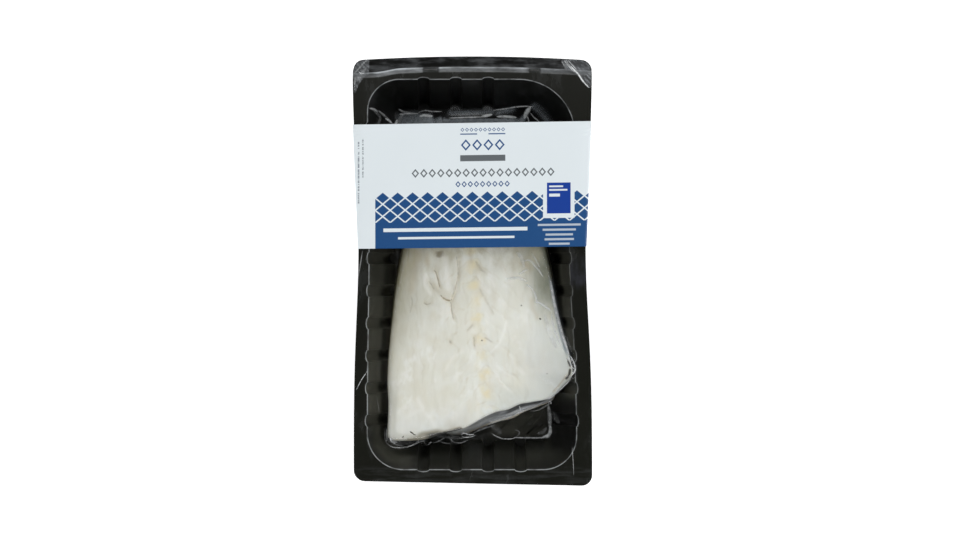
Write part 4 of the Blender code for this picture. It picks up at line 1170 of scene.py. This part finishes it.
def reach(start, out, target):
    # The point on each ray at which the rim's inset has shrunk to its target
    low, high = np.zeros(len(start)), np.full(len(start), 200.0)
    for _ in range(40):
        middle = (low + high) / 2
        further = rimInset(*(start + out * middle[:, None]).T) > target
        low, high = np.where(further, middle, low), np.where(further, high, middle)
    return start + out * low[:, None]


def outlineReach(start, out, outline):
    # Where each ray leaves a closed outline
    far = np.full(len(start), 0.0)
    for a, b in zip(outline, np.roll(outline, -1, axis=0)):
        edge = b - a
        cross = out[:, 0] * edge[1] - out[:, 1] * edge[0]
        cross = np.where(np.abs(cross) < 1e-9, 1e-9, cross)
        offset = a - start
        t = (offset[:, 0] * edge[1] - offset[:, 1] * edge[0]) / cross
        u = (offset[:, 0] * out[:, 1] - offset[:, 1] * out[:, 0]) / cross
        far = np.where((t > 0) & (u >= -1e-6) & (u <= 1 + 1e-6) & (t > far), t, far)
    return start + out * far[:, None]


def filmSheet():
    form = FilletForm(film["columns"])
    ex, ey = form.edge.T
    tail = smooth(ey, 80, 88)
    lowSide = smooth(-form.out[:, 1], 0.25, 0.75) * (1 - smooth(ey, -66, -50)) * (1 - smooth(ex, 8, 26))
    tip = np.exp(-(((ex - 59) / 9) ** 2) - ((ey + 59) / 8) ** 2)
    gather = np.clip(lowSide + tip, 0, 1)
    drape = film["drape"] + (film["cutDrape"] + fillet["cutSkirt"] - film["drape"]) * form.cut
    drape = drape + film["tailDrape"] * tail
    foot = form.edge + form.out * (fillet["skirt"] + drape)[:, None]
    rows, looses, hazeAndSheenValues = [], [], []

    def add(spots, height, loose, hazeAndSheen=0.0):
        rows.append(np.column_stack([spots, height]))
        looses.append(np.broadcast_to(loose, len(spots)))
        hazeAndSheenValues.append(np.broadcast_to(hazeAndSheen, len(spots)))

    def nearFoot(spots):
        return np.exp(-((np.hypot(*(spots - foot).T) / film["nearFoot"]) ** 2))

    step = pack["stepY"] - film["stepMargin"]
    right, left = pack["halfWidth"] - film["margin"], tray["flangeLeftBottom"] + film["margin"]
    corners = [(left, tray["flangeBottomLeft"] + film["margin"], film["corner"]),
               (right, tray["flangeBottomRight"] + film["margin"], film["corner"])]
    corners += [(x, step - stepBow(x), 0) for x in (right, *film["stepPlaces"])]
    corners += [(tray["flangeLeftTop"] + film["margin"], step - stepBow(-73), 0)]
    outline = roundedOutline(corners, 6, 6.0)
    edge = outlineReach(foot, form.out, outline)
    inner = reach(foot, form.out, np.full(len(foot), -1.6))
    flat = np.full(len(foot), pack["flangeZ"] + film["gap"] - film["seat"])
    cling = film["clingGloss"]

    # from its edge on the flange in to the rim, then down the wall and over the floor
    for t in film["flangeRows"]:
        add(edge + (inner - edge) * t, flat, 0.0)
    room = rimInset(*foot.T)
    gathered = np.clip(gather + tail, 0, 1)
    for inset, share in zip(film["wallRows"], np.linspace(0.02, 0.94, len(film["wallRows"]))):
        target = np.full(len(foot), inset) if inset < 0 else np.minimum(inset, share * room)
        spots = reach(foot, form.out, target)
        add(spots, filmHeight(rimInset(*spots.T)), film["looseGloss"] * gathered * nearFoot(spots))
    last = rows[-1][:, :2]
    slack = cling + (film["looseGloss"] - cling) * gathered
    for t in (0.35, 0.7):
        spots = last + (foot - last) * t
        add(spots, filmHeight(rimInset(*spots.T)), slack * nearFoot(spots))

    # up to the fillet's edge, gathered in folds
    footZ = filmHeight(rimInset(*foot.T))
    top, _ = form.top(film["standoff"] + 0.1)
    edgeZ = np.maximum(top[:, 2] + 0.2, footZ + 0.6)
    reachOut = fillet["skirt"] + drape
    rightStrip = smooth(ex, 40, 48) * smooth(-ey, -4, 4) * (1 - smooth(-ey, 54, 64))
    leftStrip = smooth(-ex, 44, 50) * smooth(-ey, 40, 66)
    for t in np.linspace(1, 0, film["skirtRows"]):
        power = 1.6 - 0.3 * form.cut
        spots = form.edge + form.out * (reachOut * t)[:, None]
        height = footZ + (edgeZ - footZ) * (1 - t) ** power
        ridge = noiseAt(form.along / film["foldLength"], reachOut * t / film["foldPitch"], 0 * ex, 31)
        small = noiseAt(form.along / 2.6, reachOut * t / 1.9, 0 * ex, 37)
        swell = math.sin(math.pi * min(1, t * 1.15)) * gather
        height = height + swell * (film["fold"] * (0.6 - np.abs(ridge)) * 1.4 + 0.5 * tip * small)
        height = np.maximum(height, filmHeight(rimInset(*spots.T)))
        add(spots, np.minimum(height, pack["flangeZ"] + film["topCap"]), slack,
            0.02 * (rightStrip + leftStrip) * smooth(1 - t, 0.1, 0.7))

    # over the fillet
    for inward in film["edgeRows"]:
        spots, _ = form.top(inward)
        above, _ = form.top(inward + film["standoff"])
        fade = math.exp(-inward / 1.6)
        add(spots[:, :2], np.maximum(above[:, 2], spots[:, 2]) + 0.3, cling + (slack - cling) * fade,
            0.03 * (rightStrip + leftStrip) * fade)
    for share in np.linspace(0, 0.98, film["topRows"]):
        spots, _ = form.top(None, between((form.first, 1), share))
        x, y, z = spots.T
        add(spots[:, :2], z + film["standoff"] + 0.25 * np.maximum(0, flakeRelief(x, y)), cling)
    points, looses, hazeAndSheenValues = squeezed(np.concatenate(rows)), np.concatenate(looses), np.concatenate(hazeAndSheenValues)
    x, y, _ = points.T
    top = np.interp(x, film["slopeAt"], film["slopeTop"])
    slope = smooth(y, 70, 80) * (1 - smooth(y - top, -0.5, 0.3))
    slope = slope * smooth(x, -46, -43) * (1 - smooth(x, 32, 33.2))
    hazeAndSheenValues = np.maximum(np.maximum(hazeAndSheenValues, film["slopeHazeAndSheen"] * slope), strokes(x, y, film["milky"]))
    item = addMesh("filmSkin", points, gridFaces(len(rows), len(form.edge), True), clearFilm,
                   {"hazeAndSheen": hazeAndSheenValues, "loose": looses})
    addFill(item, list(range(len(points) - len(form.edge), len(points))))
    faceUp(item)
    return item


filmSkin = filmSheet()
addWall(filmSkin, film["thickness"])
finished(filmSkin, "clear_film", "film", angle=80)

# Film flaps over the corners of the peel lip: outer and inner side, then the run of their folds
flaps = {
    "left": (
        ((-72.6, 109.7), (-73.2, 117.0), (-73.3, 123.6), (-71.6, 127.6), (-67.6, 130.2), (-63.7, 130.8)),
        ((-71.6, 110.2), (-70.0, 114.6), (-66.4, 119.6), (-63.9, 121.2), (-63.6, 125.0), (-63.5, 130.0)),
        2.4),
    "right": (
        ((54.9, 130.5), (60.5, 130.6), (67.4, 129.9), (71.6, 127.4), (73.3, 122.6), (73.2, 113.4)),
        ((55.4, 129.4), (57.8, 125.2), (63.4, 121.4), (67.8, 117.6), (71.0, 114.2), (72.4, 112.6)),
        0.7),
    "sag": 1.3, "fold": 0.22, "foldPitch": 2.2, "foldLength": 14, "topCap": 0.75, "columns": 44, "rows": 22,
}
looseFilm, start = newMaterial("looseFilm")
place = millimetres(start)
lines = place.turned(0.9).stretched(0.25, 1.0, 1.0).grain(0.9, 4.0, 0.6).rise(0.44, 0.74)
surface(filmGloss(overClear(0.030 + 0.15 * lines, (0.68, 0.72, 0.76, 1), 0.3), 1.0, 0.1))


def flapSheet(side):
    # A folded sheet between two curves, bent down past the step
    *sides, slope = flaps[side]
    outer, inner = (evenly(np.array(curvePoints(knots, 0.5)), flaps["columns"])[0] for knots in sides)
    rows = []
    for v in np.linspace(0, 1, flaps["rows"]):
        x, y = (outer + (inner - outer) * v).T
        past = smooth(y - pack["stepY"] + stepBow(x), -0.5, 7)
        z = pack["flangeZ"] + film["gap"] - flaps["sag"] * past
        ridge = noiseAt(
            (x + slope * y) / flaps["foldPitch"], (y - slope * x) / flaps["foldLength"], 0 * x, 41)
        z = z + flaps["fold"] * (0.5 - np.abs(ridge)) * 2 * math.sin(math.pi * v) ** 0.5
        rows.append(np.column_stack([x, y, np.minimum(z, pack["flangeZ"] + flaps["topCap"])]))
    item = addMesh(
        side + "Flap", np.concatenate(rows), gridFaces(len(rows), flaps["columns"], False), looseFilm)
    faceUp(item)
    return item


leftFlap, rightFlap = flapSheet("left"), flapSheet("right")
for flap in (leftFlap, rightFlap):
    addWall(flap, film["thickness"])
    finished(flap, "clear_film", angle=80)

# Creases and milky spots of the film, drawn pale as painted glints where they catch the light: strength,
# width, then points
glintsAndCreases = (
    # cavity past the thin end of the fillet
    (0.95, 2.3, (-33.4, 97.6), (-30.0, 98.1), (-25.0, 97.6)),
    (0.90, 2.2, (5.4, 97.2), (9.0, 97.9), (12.6, 98.7)),
    (0.62, 1.2, (-15.0, 96.4), (-4.0, 96.6), (7.4, 97.0)),
    (0.12, 2.6, (-14.0, 98.2), (-3.0, 98.4), (7.0, 98.6)),
    (1.00, 1.9, (15.2, 97.3), (21.0, 97.4), (28.0, 96.8)),
    (0.40, 1.1, (12.8, 101.2), (20.2, 102.1), (27.2, 103.2), (33.4, 103.5), (38.6, 103.0)),
    (1.00, 3.2, (36.6, 103.2), (34.2, 99.8), (32.6, 95.8)),
    (0.75, 0.9, (34.1, 98.0), (35.3, 95.8), (35.6, 92.0)),
    (0.55, 1.2, (36.6, 99.6), (38.4, 97.3), (40.9, 95.1), (43.6, 92.3)),
    (0.24, 1.5, (-46.6, 102.0), (-42.5, 100.1), (-35.8, 99.2)),
    (0.60, 1.0, (-46.4, 98.8), (-40.0, 99.2), (-34.0, 99.2)),
    (0.26, 1.1, (-34.2, 99.8), (-30.0, 101.2), (-26.3, 100.6), (-19.0, 100.4)),
    (0.85, 1.7, (-54.4, 95.4), (-52.4, 94.4), (-50.3, 92.8)),
    (0.90, 2.3, (-47.4, 95.4), (-48.0, 93.4), (-48.6, 91.0)),
    (0.07, 2.4, (-62.6, 101.0), (-59.4, 98.0), (-57.4, 95.1), (-58.8, 91.0)),
    (0.18, 1.9, (-58.4, 99.8), (-54.9, 97.0), (-51.6, 94.2)),
    (0.16, 1.7, (-63.6, 100.4), (-61.0, 100.2), (-58.6, 99.0)),
    (0.18, 2.4, (-46.6, 92.0), (-45.6, 96.4), (-43.2, 98.8)),
    (0.03, 3.0, (-14.6, 101.4), (-11.0, 102.8), (-7.6, 101.6)),
    (0.05, 3.0, (6.4, 101.6), (9.0, 102.8), (12.6, 101.6)),
    # over the flesh on the right
    (0.30, 1.7, (38.6, -19.2), (42.0, -20.0), (45.6, -22.4), (49.0, -24.6)),
    (0.30, 1.4, (49.4, -26.4), (49.6, -31.4), (51.2, -37.4), (53.6, -43.2), (56.6, -48.9)),
    (0.20, 1.9, (31.9, 6.3), (35.7, 6.5), (39.0, 2.9), (41.6, 0.0), (43.8, -3.6)),
    (0.18, 1.2, (36.6, 12.0), (39.6, 6.6), (42.2, 1.6)),
    (0.17, 2.2, (21.4, -5.0), (27.4, -4.3), (31.2, -5.0), (34.2, -6.5)),
    (0.22, 1.6, (33.5, -8.1), (37.2, -11.1), (39.5, -16.4), (40.2, -19.4)),
    (0.22, 1.5, (34.6, 1.0), (31.4, -0.6), (28.8, -2.2)),
    (0.14, 3.0, (27.0, 12.0), (30.4, 8.4), (32.2, 2.0)),
    (0.12, 4.0, (44.6, -27.0), (48.0, -38.0), (52.0, -48.0)),
    (0.30, 2.6, (48.6, -6.0), (49.8, -13.0), (51.2, -21.4), (53.0, -29.4), (55.2, -37.4), (57.6, -45.0),
     (59.6, -51.6)),
    # knot at the corner
    (0.36, 0.9, (59.8, -51.6), (62.0, -55.0), (63.2, -59.0), (62.8, -63.0)),
    (0.30, 0.8, (57.8, -53.6), (60.4, -56.8), (61.4, -60.6)),
    (0.34, 0.8, (63.8, -57.8), (63.4, -61.6), (61.2, -64.6)),
    (0.45, 1.0, (61.0, -66.4), (57.6, -70.6), (54.0, -74.4), (49.4, -78.2), (46.4, -79.6)),
    # along the cut
    (0.14, 4.0, (10.4, -94.2), (17.4, -92.2), (24.0, -89.0), (33.0, -85.4), (40.4, -83.6)),
    (0.30, 1.0, (9.6, -96.4), (15.0, -94.4), (24.0, -91.0), (33.0, -87.2), (40.0, -84.6)),
    (0.55, 1.2, (29.6, -89.4), (30.0, -86.8), (29.2, -83.9)),
    (0.14, 1.2, (14.0, -93.2), (20.6, -91.6), (27.2, -89.6)),
    (0.20, 1.0, (30.6, -88.6), (36.6, -86.4), (41.4, -83.4), (45.0, -81.6)),
    (0.15, 1.0, (36.8, -88.0), (41.4, -87.6), (46.4, -84.6), (49.6, -82.0)),
    (0.45, 1.1, (47.4, -82.2), (48.8, -81.4), (49.4, -83.6)),
    # foot of the tray's corner
    (0.22, 3.0, (47.8, -84.6), (48.6, -90.0), (48.8, -95.0), (49.2, -101.0)),
    (0.70, 2.8, (49.2, -97.4), (49.0, -101.6), (47.4, -104.0), (44.0, -104.8)),
    (0.60, 1.2, (48.0, -103.6), (45.0, -104.9), (40.0, -105.2)),
    (0.10, 3.0, (41.0, -102.6), (44.6, -101.4), (47.0, -98.6)),
    (0.42, 1.2, (45.8, -105.2), (40.0, -105.2), (33.0, -105.1), (26.0, -105.0)),
    (0.42, 0.9, (27.4, -105.0), (24.3, -105.8), (19.3, -105.7), (15.5, -104.4), (12.2, -102.6)),
    (0.10, 1.3, (26.9, -104.7), (29.1, -103.4), (29.4, -101.2), (26.6, -100.2)),
    (0.045, 4.6, (11.6, -97.2), (15.4, -99.6), (18.4, -103.0)),
    (0.030, 4.0, (50.6, -88.0), (52.6, -92.4), (54.4, -95.4)),
    (0.030, 3.0, (35.4, -97.4), (37.0, -95.0)),
    (0.030, 3.0, (42.0, -98.0), (42.8, -95.0)),
    # outer line of the film under the lower edge
    (0.10, 0.9, (-54.4, -97.6), (-54.7, -101.4), (-54.2, -105.2), (-52.9, -108.4)),
    (0.26, 1.1, (-53.4, -107.4), (-50.5, -109.8), (-46.6, -110.6), (-42.1, -110.5), (-38.3, -109.6),
     (-34.0, -107.9), (-29.4, -106.6)),
    (0.30, 0.9, (-53.2, -98.0), (-53.4, -102.0), (-52.6, -105.4), (-51.0, -107.6)),
    (0.95, 2.6, (-50.8, -103.6), (-49.9, -106.2), (-48.4, -108.4)),
    (0.50, 0.9, (-50.6, -104.6), (-48.8, -106.6), (-46.8, -107.4)),
    (0.20, 1.0, (-50.0, -107.8), (-46.6, -109.2), (-43.0, -109.8)),
    (0.045, 3.0, (-48.6, -107.4), (-42.0, -108.6), (-35.0, -107.4)),
    # gathers right of it
    (0.12, 0.8, (-30.6, -107.0), (-29.4, -108.8), (-28.2, -109.8)),
    (0.14, 0.8, (-28.0, -109.4), (-26.4, -108.0), (-25.2, -107.6)),
    (0.13, 0.9, (-24.4, -108.2), (-20.4, -106.8), (-17.0, -104.8), (-14.6, -104.8), (-12.2, -107.4),
     (-7.6, -108.2), (-2.6, -106.4)),
    (0.11, 0.8, (-22.0, -106.4), (-18.2, -108.0), (-13.2, -108.6)),
    (0.09, 0.9, (-13.6, -105.8), (-9.6, -105.4), (-5.6, -105.0), (-1.0, -104.4)),
    (0.05, 2.4, (-22.6, -104.0), (-15.0, -104.6), (-8.0, -103.6)),
    (0.50, 1.1, (-7.0, -103.0), (-5.8, -101.6), (-4.2, -101.8), (-1.4, -103.0), (1.4, -102.6)),
    (0.26, 0.9, (-6.8, -103.4), (-5.0, -104.6), (-0.4, -104.4), (2.2, -103.4)),
    (0.12, 0.9, (0.6, -102.2), (4.6, -99.8), (9.4, -97.6)),
    (0.09, 1.2, (2.4, -101.0), (9.0, -98.4), (14.4, -96.6)),
    # left of the fillet by the sleeve
    (0.13, 0.9, (-47.5, 14.2), (-47.2, 8.0), (-47.1, 5.0), (-47.8, 1.6)),
    # folds of the two corner flaps
    (0.35, 0.8, (56.6, 130.0), (58.6, 127.4), (60.9, 124.8), (63.4, 122.4)),
    (0.30, 0.7, (58.8, 130.2), (61.4, 127.4), (64.6, 123.8)),
    (0.70, 1.2, (60.9, 126.3), (63.0, 123.8), (65.2, 121.4), (67.7, 117.7), (70.2, 114.8), (72.0, 112.8)),
    (0.18, 1.1, (55.2, 129.8), (56.4, 127.4), (58.6, 123.6)),
    (0.22, 0.8, (58.0, 130.2), (59.4, 127.6), (62.0, 124.6)),
    (0.10, 1.2, (-73.0, 121.6), (-69.6, 125.2), (-66.4, 128.8), (-64.4, 130.2)),
    (0.10, 1.4, (-72.6, 114.4), (-72.2, 117.0), (-72.0, 119.6)),
    (0.05, 3.4, (-71.6, 116.6), (-68.6, 120.6), (-65.6, 125.0)),
    # scratches on the flange
    (0.36, 0.6, (-71.4, -73.2), (-68.4, -67.4), (-64.4, -61.4)),
    (0.14, 0.80, (-67.6, 12.4), (-68.6, 6.0), (-70.2, -3.6)),
    (0.20, 0.5, (61.6, -108.6), (62.2, -117.4), (62.6, -125.8)),
    (0.10, 0.45, (-59.4, -78.4), (-58.6, -83.0), (-57.8, -88.0)),
)
creaseGlintAndHaze = softLine("creaseGlintAndHaze", (0.90, 0.925, 0.93, 1), 0.25)
overFilm = onTop([trayShell, filmSkin, leftFlap, rightFlap])
addRibbons("filmCreases", glintsAndCreases, overFilm, 0.04, creaseGlintAndHaze, "clear_film")

# Sleeve
sleeve = {
    "card": 0.4, "lowerY": 14.4, "upperY": 91.2, "skew": (0.0105, 0.015),
    "halfLower": 70.6, "halfUpper": 73.8, "halfBase": 56.0, "top": 32.28, "tuckIn": 0.2, "tuckDown": 2.6,
    "fold": 1.2, "sag": 0.45, "sagHalf": 64, "rows": 33, "spacing": 3.2,
}
printedCard, start = newMaterial("printedCard")
place = millimetres(start)
x, y, z = place.parts()
up = y - sleeve["lowerY"] - x * 0.0125  # over the sleeve's lower edge
topFace = z.rise(31.0, 31.4)
# The print, over the lower edge: left, right, low and high of each bar
net = {
    "left": -59.7, "top": 35.0, "bottom": 16.0, "pitch": 9.2, "height": 7.6, "thread": 0.07,
    "waterLines": ((-54.7, 34.0, 10.2, 12.4), (-45.7, 26.0, 5.6, 7.0)),
    "panel": (43.6, 63.0, 17.6, 40.4), "badge": (46.0, 60.6, 20.4, 39.4),
    "badgeLines": ((47.4, 56.0, 36.6, 37.6), (47.4, 58.6, 34.4, 35.4), (47.4, 54.0, 30.8, 32.6)),
    # short lines in the blue, centred at one place: half length and foot
    "notesAt": 53.6, "notesHigh": 1.25,
    "notes": ((13.2, 12.8), (10.2, 9.8), (8.4, 6.8), (9.0, 3.9), (6.4, 1.1)),
    # chains of lozenges: their bar, how many, and the line's share of each
    "blueChains": (
        (-10.6, 23.4, 36.9, 41.3, 9, 0.20),
        (-7.4, 20.4, 59.2, 67.2, 4, 0.17),
        (-7.4, 20.4, 71.2, 74.0, 10, 0.18)),
    "blueLines": ((-7.4, 3.0, 69.6, 70.3), (10.0, 20.4, 69.6, 70.3)),
    "greyChain": (-37.6, 51.0, 43.0, 49.2, 17, 0.19), "greyBar": (-7.4, 20.4, 53.2, 57.0),
    "sideBars": ((-70.4, -69.5, 28.0, 66.0), (-67.7, -66.9, 44.0, 68.0)),
}


def bar(left, right, low, high, soft=0.12):
    return x.band(left, right, soft) * up.band(low, high, soft)


def lozenges(left, right, low, high, count, rim):
    # A chain of lozenge outlines that fills the bar
    spread = ((x - left) * (count / (right - left))).zigzag()
    spread = spread + ((up - (low + high) / 2) / (high - low)).math("ABSOLUTE")
    return spread.band(0.44 - rim, 0.44, 0.02) * bar(left, right, low - 0.3, high + 0.3)


def together(first, *others):
    # Where any of them is
    for other in others:
        first = first.math("MAXIMUM", other)
    return first


slant, climb = (x - net["left"]) / net["pitch"], (up - net["top"]) / net["height"]
peaks = slant.zigzag() * net["height"]
field = (1 - (up - net["top"] + peaks).rise(-0.1, 0.1)) * x.rise(net["left"] - 0.1, net["left"] + 0.1)
nearest = (slant + climb).zigzag().math("MINIMUM", (slant - climb).zigzag())
threads = 1 - nearest.rise(net["thread"] * 0.7, net["thread"] * 1.3)
threads = threads * up.rise(net["bottom"] - 0.1, net["bottom"] + 0.1)
waterLines = together(*(bar(*line) for line in net["waterLines"]))
notes = together(*(
    bar(net["notesAt"] - half, net["notesAt"] + half, low, low + net["notesHigh"], 0.2)
    for half, low in net["notes"]))
blueInk = field * (1 - threads) * (1 - waterLines) * (1 - notes * 0.62) * (1 - bar(*net["panel"]))
blueInk = together(
    blueInk, *(lozenges(*chain) for chain in net["blueChains"]), *(bar(*line) for line in net["blueLines"]))
badge = bar(*net["badge"]) * (1 - together(*(bar(*line, 0.2) for line in net["badgeLines"])))
greyInk = together(lozenges(*net["greyChain"]), bar(*net["greyBar"]))
sidePrint = together(*(bar(*line, 0.25) for line in net["sideBars"]))
sidePrint = sidePrint * place.streaks((0.3, 1.4, 1.0), 1.0, 0.5).rise(0.42, 0.52)
white = place.grain(0.03, 2.0).blend((0.765, 0.828, 0.857, 1), (0.795, 0.856, 0.885, 1))
blue = place.grain(0.9, 3.0).blend((0.0085, 0.062, 0.205, 1), (0.0125, 0.080, 0.235, 1))
tone = (blueInk * topFace).blend(white, blue)
tone = (badge * topFace).blend(tone, (0.004, 0.045, 0.31, 1))
tone = (greyInk * topFace).blend(tone, (0.125, 0.14, 0.15, 1))
tone = (sidePrint * topFace * 0.7).blend(tone, (0.06, 0.08, 0.12, 1))
surface(principled(start, tone, 0.36 + place.grain(0.08) * 0.08, {
    "Coat Weight": 0.2, "Coat Roughness": 0.15, "Normal": place.grain(0.7, 4.0).bump(0.08, 0.0001)}))


def sleeveSheet():
    # A closed band, as sections from its lower edge to its upper one
    rows = []
    for t in np.linspace(0, 1, sleeve["rows"]):
        half = between((sleeve["halfLower"], sleeve["halfUpper"]), t)
        top, tuck = sleeve["top"], sleeve["top"] - sleeve["tuckDown"]
        section = roundedOutline([
            (half, top, sleeve["fold"]), (-half, top, sleeve["fold"]), (sleeve["tuckIn"] - half, tuck, 0),
            (-sleeve["halfBase"], 0, sleeve["fold"]), (sleeve["halfBase"], 0, sleeve["fold"]),
            (half - sleeve["tuckIn"], tuck, 0)], 6, 100.0)
        cut = []
        for here, there in zip(section, np.roll(section, -1, axis=0)):
            length = np.hypot(*(there - here))
            pieces = max(1, round(length / sleeve["spacing"])) if length > 2 else 1
            cut += [here + (there - here) * k / pieces for k in range(pieces)]
        across, height = np.array(cut).T
        skew, y = between(sleeve["skew"], t), between((sleeve["lowerY"], sleeve["upperY"]), t)
        middle = np.clip(1 - (across / sleeve["sagHalf"]) ** 2, 0, 1) * (height > top - 0.2)
        height = height - sleeve["sag"] * middle * (0.8 + 0.2 * math.sin(3 * t))
        rows.append(np.column_stack([across, y + skew * across, height]))
    columns = len(rows[0])
    item = addMesh("cardSleeve", np.concatenate(rows), gridFaces(len(rows), columns, True), printedCard)
    faceOut(item)
    return item


cardSleeve = sleeveSheet()
addWall(cardSleeve, sleeve["card"], even=False)
finished(cardSleeve, "card", "sleeve", angle=60)
